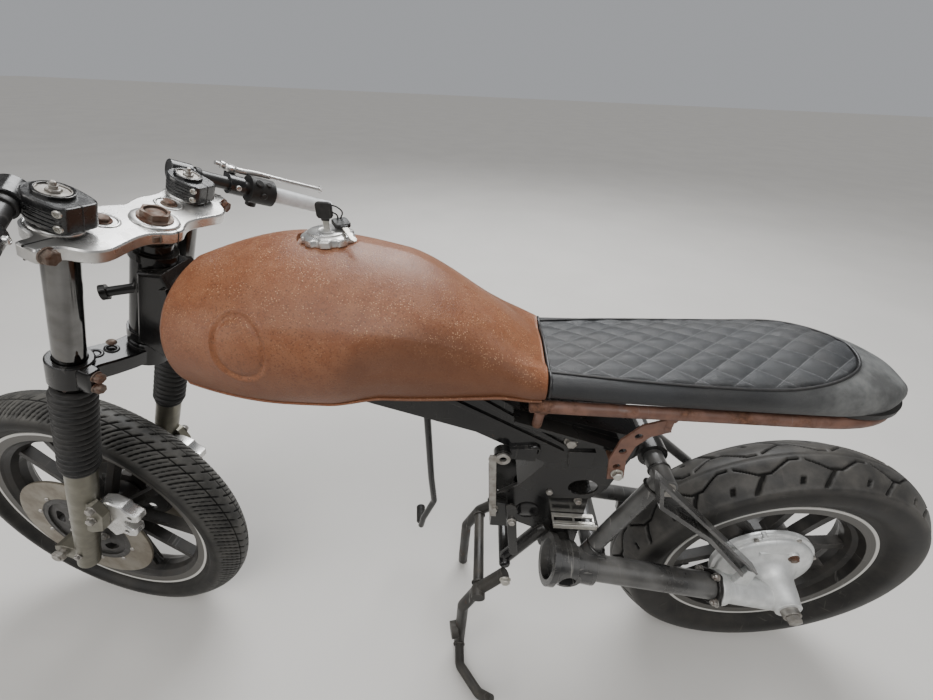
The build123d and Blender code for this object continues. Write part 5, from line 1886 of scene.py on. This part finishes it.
@dataclass
class LowerClamp:
    """Black lower fork clamp: round bosses joined by a bridge, with pinch lugs behind."""

    low: float = 535.4
    high: float = 579.6
    bridge: tuple = ((29, 0), (31, 30), (42, 62), (50, 84), (40, 99), (6, 99), (2, 84), (-6, 62), (-14, 34), (-18, 0))
    lug: tuple = ((20, 92.5), (-4, 93), (-7.6, 96), (-7.6, 110), (-4, 113), (20, 114))
    # x, y and radius of each boss
    bosses: tuple = ((33, 99, 27), (33, -99, 27), (0, 0, 28.5))

    def build(self) -> None:
        """Cast the clamp, with the stem through it."""
        low, high = self.low, self.high
        shape = Shape()
        for x, y, radius in self.bosses:
            shape.lathe([(18.7, low), (radius - 1.6, low), (radius, low + 1.6), (radius, high - 1.8),
                         (radius - 1.8, high), (19.8, high), (18.7, high - 1)], shifted(STEERING, x, y), 64, True)
        shape.slab(spline(mirrored(self.bridge), 5, loop=True), low + 5, high - 8, STEERING, 2.5)
        for side, _ in SIDES:
            shape.slab(self.lug, low + 2, high - 2, mirror(STEERING, side), 2.5)
            for x, y in ((18, 50), (24, 70)):
                shape.lathe([(5.2, 0), (5.2, 1.0), (6.2, 1.6), (8.6, 1.6), (9.6, 0.8), (9.8, 0)],
                            shifted(STEERING, x, side * y, high - 8), 32, closed=True)
        shape.make("lower_clamp_cast", Body.STEERING, FRAME, 40.0, "lower_clamp")
        stem = [(0, high - 2), (13, high - 2), (13, 795), (11.5, 796), (0, 796)]
        Shape().lathe(stem, STEERING, 40).make("steering_stem", Body.STEERING, STEEL)


@dataclass
class CaliperBrackets:
    """Two-pronged cast brackets behind the sliders, each prong with its bolt hole."""

    outline: tuple = ((8, 210), (-8, 220), (-36, 222), (-44, 214), (-66, 210), (-69, 193), (-60, 187), (-46, 184),
                      (-41, 172), (-47, 163), (-64, 159), (-67, 140), (-56, 133), (-44, 134), (-28, 112), (6, 140))
    holes: tuple = ((-50, 148), (-54, 200))
    hole_r: float = 5.0
    thick: tuple[float, float] = (72.2, 96.6)

    def build(self) -> None:
        """Cast both brackets and drill them."""
        side_on = STEERING @ SIDE_ON @ Matrix.Scale(1 / MM, 4)
        inner, outer = self.thick
        shape = Shape().slab(self.outline, -outer, -inner, side_on, 2.4).slab(self.outline, inner, outer, side_on, 2.4)
        piece = shape.make("caliper_brackets_cast", Body.STEERING, ALLOY, 40.0, "caliper_brackets")
        drill = [(0, -120), (self.hole_r, -120), (self.hole_r, 120), (0, 120)]
        cut_out(piece, 40.0, *(Shape().lathe(drill, shifted(side_on, x, z), 40) for x, z in self.holes))


@dataclass
class ClipOn:
    """Black clamp round a fork tube, grooved outside, with a boss for its handlebar."""

    word: str
    side: int
    low: float
    high: float
    outline: tuple = ((59.6, 99), (57.4, 110), (51, 119), (42, 124.4), (33, 125.6), (22, 125), (12, 123.6), (5, 121),
                      (1.4, 116), (0.8, 107), (0.8, 91), (1.4, 82), (5, 77), (12, 74.4), (22, 73), (33, 72.4),
                      (42, 73.6), (51, 79), (57.4, 88))
    centre: tuple[float, float] = (30.0, 99.0)
    grooves: tuple = (6.0, 11.0, 16.0, 21.0)
    groove_depth: float = 1.9

    def levels(self) -> list[tuple[float, float]]:
        """List how far in the outline stands at each height.

        Returns:
            Insets and heights above the clamp's foot.
        """
        tall = self.high - self.low
        levels = [(2.0, 0.0), (0.5, 0.6), (0, 1.8)]
        for z in self.grooves:
            levels += [(0, z - 1.1), (self.groove_depth, z - 0.7), (self.groove_depth, z + 0.7), (0, z + 1.1)]
        return [(d, z) for d, z in levels if z < tall - 3] + [(0, tall - 2), (0.6, tall - 0.7), (2.2, tall)]

    def build(self) -> None:
        """Turn the grooved clamp, its boss and bolts, and a thin black block painted as shade in its slit."""
        at = mirror(STEERING, self.side)
        flat = spline(self.outline, 5, loop=True)
        run = np.roll(flat, -1, 0) - np.roll(flat, 1, 0)
        out = np.stack([-run[:, 1], run[:, 0]], -1) / np.linalg.norm(run, axis=1)[:, None]
        out *= np.sign(np.sum(out * (flat - self.centre), axis=1).mean())
        grooved = smooth_step(2, 14, flat[:, 0])
        rings = []
        for inset, z in self.levels():
            deep = inset * (grooved if 2.5 < z < self.high - self.low - 2.5 else np.ones(len(flat)))
            rings.append(np.column_stack([flat - out * deep[:, None], np.full(len(flat), self.low + z)]))
        shape = Shape().stack(moved(np.array(rings), at), over=True)
        shape.lathe([(11.1, -15.5), (14.6, -15.5), (15.8, -14.4), (15.8, 14.4), (14.6, 15.5), (11.1, 15.5)],
                    round_bar(self.side, 0), 48, closed=True)
        shape.make(f"clip_on_body_{self.word}", Body.STEERING, ANODISED, 32.0, f"clip_on_{self.word}")
        # painted shade: a thin black block stands in for the dark gap of the clamp's slit
        slit = [(0.5, 98.2), (12, 98.2), (12, 99.8), (0.5, 99.8)]
        Shape().slab(slit, self.low - 0.1, self.high + 0.1, at, 0.05).make(
            f"clip_on_slit_{self.word}", Body.STEERING, PLASTIC)
        bolts = Shape()
        for z in (self.low + 7, self.high - 7):
            bolts.socket_head(facing((6.5, self.side * 99 + 22.4, z), (-0.3, 1, 0), STEERING), 4.4, 2.6)
        bolts.make(f"clip_on_bolts_{self.word}", Body.STEERING, ZINC)


@dataclass
class FillerCap:
    """Scalloped filler cap with one key in its lock and a second on a ring."""

    at: Point = (129.0, 0.0, 1003.0)
    scallops: int = 9
    scallop_depth: float = 3.4
    # radius, height, share of the scallop's depth
    profile: tuple = ((35.2, 0, 1), (36, 0.8, 1), (36, 8.2, 1), (35, 9.6, 0.9), (32.5, 10.8, 0.5), (29, 11.6, 0.15),
                      (27.6, 12.0, 0), (26.6, 12.4, 0), (26.2, 14.2, 0), (25, 15, 0), (13.5, 15, 0), (12.8, 15.6, 0),
                      (12.2, 15.6, 0), (11.6, 14.9, 0), (0, 14.9, 0))
    # places of the hanging key and of the one in the lock
    spare: Matrix = field(default_factory=lambda: place((112, -9, 1025), (-34, 47, -14), (-0.13, 0.17, 0.97)))
    upright: Matrix = field(default_factory=lambda: place((131.5, -5, 1042.5), (0, 0, -1), (0, -1, 0)))
    head: tuple = ((-11, -7), (-9.8, -9.8), (-7, -11), (7, -11), (10, -9), (11, -5), (11, 5), (10, 9), (7, 11),
                   (-7, 11), (-9.8, 9.8), (-11, 7))
    blade: tuple = ((9, -4), (46, -4), (51, -1.5), (51, 1.5), (47, 4), (41, 4), (39.5, 2.6), (36, 2.6), (34.5, 4),
                    (30, 4), (28.5, 2.8), (25, 2.8), (24, 4), (9, 4))

    def build(self) -> None:
        """Turn the cap and hang its keys."""
        angles = np.linspace(0, TAU, 216, endpoint=False)
        bite = self.scallop_depth * np.exp(-(((angles * self.scallops / TAU + 0.5) % 1.0 - 0.5) / 0.20) ** 4)
        rings = [[((r - share * b) * math.cos(t), (r - share * b) * math.sin(t), h) for t, b in zip(angles, bite)]
                 for r, h, share in self.profile]
        cap = Shape().grid(moved(np.array(rings), shifted(WORLD, *self.at)), wrap_columns=True)
        cap.make("filler_cap_turned", Body.CHASSIS, ALLOY, 34.0, "filler_cap")
        heads, blades = Shape(), Shape()
        for key in (self.spare, self.upright):
            heads.slab(self.head, -3.2, 3.2, key, 1.2)
            heads.slab([(9, -6), (14, -5), (14, 5), (9, 6)], -2.4, 2.4, key, 0.8)
            heads.lathe([(2.4, 3.25), (4.2, 3.25), (4.4, 3.0), (4.4, 2.0)], shifted(key, -5.5), 24)
        blades.slab(self.blade, -1.1, 1.1, self.spare, 0.25)
        blades.slab([(9, -4), (25.5, -4), (25.5, 4), (9, 4)], -1.1, 1.1, self.upright, 0.25)
        ring = [(122, -5, 1049), (115, -9, 1046.5), (110, -14, 1038), self.spare @ Vector((-8, 0, 1)) / MM,
                (117, -10, 1036), (123, -3, 1043)]
        heads.tube(spline(ring, 8, loop=True), 1.0, sides=10, loop=True)
        heads.make("key_heads", Body.CHASSIS, PLASTIC, replaces="cap_key")
        blades.make("key_blades", Body.CHASSIS, ZINC)


@dataclass
class FinalDrive:
    """Cast final drive: ribbed round housing, cone of the axle, neck, raised pad and filler plug."""

    profile: tuple = ((10.2, 18), (99, 18), (106, 21), (107, 23), (107, 30), (106, 32), (103, 33.4), (99.6, 34),
                      (99, 35), (99, 39), (97.5, 42), (94, 45), (88, 48), (80, 51), (71, 54), (62, 57), (55, 60),
                      (49, 65), (44, 71), (40, 77), (37.4, 84), (35.4, 92), (33, 102), (30, 113), (27, 122),
                      (25.6, 128), (25.4, 131), (24.4, 132), (10.2, 132))
    neck: tuple = ((0, -134), (27, -134), (28, -132), (28, -28), (29, -22), (33, -16), (34, -13), (34, -1), (33, 0),
                   (0, 0))
    web: tuple = ((-636, 340), (-672, 340), (-668, 407), (-648, 407))
    pad: tuple = ((-706, 392), (-772, 400), (-780, 388), (-778, 376), (-768, 368), (-716, 366), (-706, 376))
    # angles of the studs' bosses round the housing, in degrees
    bosses: tuple = (30, 75, 250, 290, 330)

    def build(self) -> None:
        """Cast the housing with its neck, web, pad, plug, drain and bosses."""
        shape = Shape().lathe(self.profile, REAR_AXLE, 128, closed=True)
        shape.lathe(self.neck, facing((-606.5, 98, 335.5), (268, 0, 48)), 64)
        shape.slab(self.web, -102, -88.2, SIDE_ON, 1.5).slab(self.pad, -54, -30, SIDE_ON, 2.0)
        shape.lathe([(0, 0), (14.5, 0), (13, 15.6), (12, 17), (0, 17)], facing((-776, 40, 386), (0, 1, 0)), 40)
        shape.tube([(-700, 98, 308), (-700, 98, 286)], 9, sides=28)
        for angle in np.radians(self.bosses):
            shape.lathe([(0, 36), (6.5, 36), (7, 35), (7.4, 30), (7.4, 24)],
                        shifted(REAR_AXLE, 101 * math.cos(angle), 101 * math.sin(angle)), 20)
        shape.make("final_drive_cast", Body.CHASSIS, CASTING, 35.0, "final_drive")


@dataclass
class Loop:
    """Rusty tube loop under the seat, with its two uprights."""

    radius: float = 10.0
    lift: float = 801.0
    half: tuple = ((-168, 92), (-300, 92.2), (-450, 92.2), (-570, 92), (-625, 90), (-668, 81), (-702, 62), (-724, 34),
                   (-732, 0))

    def build(self) -> None:
        """Bend the loop and weld its uprights and lugs."""
        line = [(x, y, self.lift) for x, y in spline(mirrored(self.half), 8)]
        shape = Shape().tube(line, self.radius, sides=28)
        for side, _ in SIDES:
            shape.tube([(-186, side * 70, 744), (-186, side * 78, 774), (-186, side * 87, 799)], 8, sides=20)
            shape.lathe([(0, 0), (9, 0), (9.4, 1), (7.4, 4), (6.4, 10)],
                        facing((-378, side * 90, 788.5), (0, 0, 1)), 24)
        shape.make("seat_loop_tube", Body.CHASSIS, RUSTY, 60.0, "seat_loop")


@dataclass
class LowerFrame:
    """Pivot plates, engine arms and stand braces of the lower frame, with the brackets on its left."""

    plate: tuple = ((-320, 530), (-234, 525), (-178, 555), (-132, 518), (-132, 434), (-186, 438), (-222, 420),
                    (-246, 356), (-275, 342), (-320, 378))
    arm: tuple = ((-132, 518), (-132, 440), (-168, 440), (-160, 512))
    lug: tuple = ((-265, 474), (-297, 474), (-297, 445), (-265, 445))
    # x, z, half length and radius of each cross tube
    cross_tubes: tuple = ((-136, 492, 60, 9), (-173, 322, 71, 12), (-288, 390, 69.8, 18))
    strap: tuple = ((-141.5, 484), (-128.5, 484), (-117.5, 640), (-118, 656), (-131, 656), (-130.5, 640))
    bar: tuple = ((-156, 543), (-165, 549), (-174, 543), (-193, 386), (-184, 378), (-176, 386))
    slots: tuple = ((43, 51.5), (60, 66), (73.5, 77))

    def build(self) -> None:
        """Weld the frame's lower parts and hang the strap and brackets."""
        shape = Shape()
        for side, _ in SIDES:
            outward = SIDE_ON @ Matrix.Scale(-side, 4, (0, 0, 1))
            shape.slab(self.plate, 34, 42, outward, 1.2)
            shape.slab(self.arm, 42, 56, outward, 2.0)
            shape.slab(self.lug, 42, 60, outward, 1.5)
            shape.tube([(-250, side * 40, 425), (-240, side * 40, 412), (-180, side * 53, 331),
                        (-173, side * 54, 322)], 14, sides=28)
            shape.lathe([(0, 34), (21, 34), (23, 35), (23, 44), (21, 45.5), (0, 45.5)], shifted(outward, -205, 480), 40)
        for x, z, half, radius in self.cross_tubes:
            shape.tube([(x, -half, z), (x, 0, z), (x, half, z)], radius, sides=32)
        shape.make("lower_frame_welded", Body.CHASSIS, FRAME, 40.0, "lower_frame")
        self.hang_brackets()

    def hang_brackets(self) -> None:
        """Hang the engine strap, the slotted bracket and the flat bar."""
        strap = Shape().slab(self.strap, -64.2, -60.2, SIDE_ON, 0.5)
        strap.lathe([(6.2, 0), (12.5, 0), (13, 0.5), (13, 5.4), (12.4, 6), (6.8, 6), (6.2, 5.4)],
                    facing((-141, 60.2, 651), (0, 1, 0)), 40, closed=True)
        strap.make("engine_strap_and_eye", Body.CHASSIS, STEEL, 40.0, "engine_strap")
        bright = Shape()
        for low, high in self.slots:
            bright.slab([(-338, low), (-254, low), (-254, high), (-338, high)], 474.2, 477.2, WORLD, 0.4)
        for x in (-338, -299, -258):
            bright.slab([(x, 43), (x + 4, 43), (x + 4, 77), (x, 77)], 474.25, 477.15, WORLD, 0.2)
        bright.slab([(-338, 474.2), (-254, 474.2), (-254, 488), (-338, 488)], -77, -74, SIDE_ON, 0.5)
        bright.make("slotted_bracket", Body.CHASSIS, ZINC, 40.0)
        bar = Shape().slab(self.bar, -82, -78, SIDE_ON, 0.6)
        bar.tube([(-170, 42, 500), (-170, 60, 500), (-170, 79, 500)], 6, sides=20)
        bar.make("flat_bar", Body.CHASSIS, FRAME, 40.0, "frame_brackets")


@dataclass(frozen=True)
class Sleeve:
    """Moulded rubber sleeve whose ribs repeat along it."""

    name: str
    node: str
    body: Body
    at: Matrix
    sides: int
    crease: float
    # profile before the ribs; count, start and spacing of the ribs; one rib; profile after them
    head: tuple
    spread: tuple[int, float, float]
    rib: tuple
    tail: tuple

    def build(self) -> None:
        """Mould the sleeve in place of its plain solid."""
        count, start, pitch = self.spread
        ribs = [(r, start + k * pitch + z) for k in range(count) for r, z in self.rib]
        shape = Shape().lathe([*self.head, *ribs, *self.tail], self.at, self.sides, closed=True)
        shape.make(self.name, self.body, RUBBER, self.crease, self.node)


SLEEVES = (
    Sleeve("grip_ribbed_left", "grip_left", Body.STEERING, round_bar(1, 130), 56, 50.0,
           ((11.1, 0), (19.5, 0), (20.8, 1.2), (20.8, 2.8), (19.5, 4), (16.4, 5.4)), (24, 8, 4.6),
           ((15.9, 0), (14.9, 0.8), (14.9, 2.2), (15.9, 3.0)), ((15.9, 119), (15.2, 121.4), (13.2, 122), (11.1, 122))),
    Sleeve("shock_boot_folded", "shock_boot", Body.CHASSIS, facing((-392, 0, 636.5), (41, 0, 14.4)), 56, 60.0,
           ((12.3, 0), (20, 0), (21.5, 1)), (4, 2, 9.6),
           ((22.5, 0), (26.5, 1.8), (28.6, 4.2), (28.6, 5.2), (26.5, 7.6), (22.5, 9.2)),
           ((22.4, 41), (24.5, 41.6), (24.5, 43), (12.3, 43))),
    Sleeve("pedal_rubber_ribbed", "pedal_rubber", Body.CHASSIS, facing((38.62, -114.8, 171.64), (7.2, -48, -1.6)), 40,
           50.0, ((6.2, 0), (10, 0), (11.6, 1), (12, 2.4)), (9, 5, 4.6),
           ((12, 0), (10.6, 0.7), (10.6, 1.9), (12, 2.6)), ((12, 46), (11.4, 48), (9.5, 48.8), (6.2, 48.8))),
)


@dataclass
class Levers:
    """Cast hand levers with their pivots and ball ends."""

    # side, forward and up of the pivot, and out, forward and up of the tip
    places: tuple = ((-1, 25, 18, 250, 14, 28), (1, 32, 6, 222, 48, 12))

    def build(self) -> None:
        """Forge both levers."""
        levers = Shape()
        for side, forward, up, tip, tip_forward, tip_up in self.places:
            mid = (up + tip_up) / 2
            points = ((80, forward, up), (100, forward * 0.6 + tip_forward * 0.4 + 3, up), (125, tip_forward + 5, mid),
                      (180, tip_forward + 3, mid * 0.6 + tip_up * 0.4), (tip - 14, tip_forward, tip_up),
                      (tip, tip_forward, tip_up))
            route = spline([bar_point(side, *point) for point in points], 10)
            t = np.linspace(0, 1, len(route))
            radii = 5.6 - 1.4 * smooth_step(0.1, 0.5, t) + 3.4 * smooth_step(0.93, 0.975, t)
            levers.tube(route, radii, STEERING, 18)
            levers.lathe([(0, -5), (8, -5), (9, -4), (9, 4), (8, 5), (0, 5)],
                         facing(bar_point(side, 82, forward, up), (0, 0, 1), STEERING), 32)
        levers.make("hand_levers", Body.STEERING, ALLOY, 50.0, "levers")


def main() -> None:
    """Build the room, dress the machine and add its finer pieces."""
    logging.basicConfig(level=logging.INFO, format="%(message)s")
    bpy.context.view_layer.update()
    Studio().build()
    dress_nodes()
    for assembly in (FRONT_TYRE, REAR_TYRE, WheelFittings(), Tank(), Seat(), Fork(), Controls(), Chassis(),
                     UpperClamp(), LowerClamp(), CaliperBrackets(), ClipOn("left", 1, 797.0, 829.0),
                     ClipOn("right", -1, 792.5, 820.0), FillerCap(), FinalDrive(), Loop(), LowerFrame(), *SLEEVES,
                     Levers()):
        assembly.build()
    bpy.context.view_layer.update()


if __name__ == "__main__":
    main()
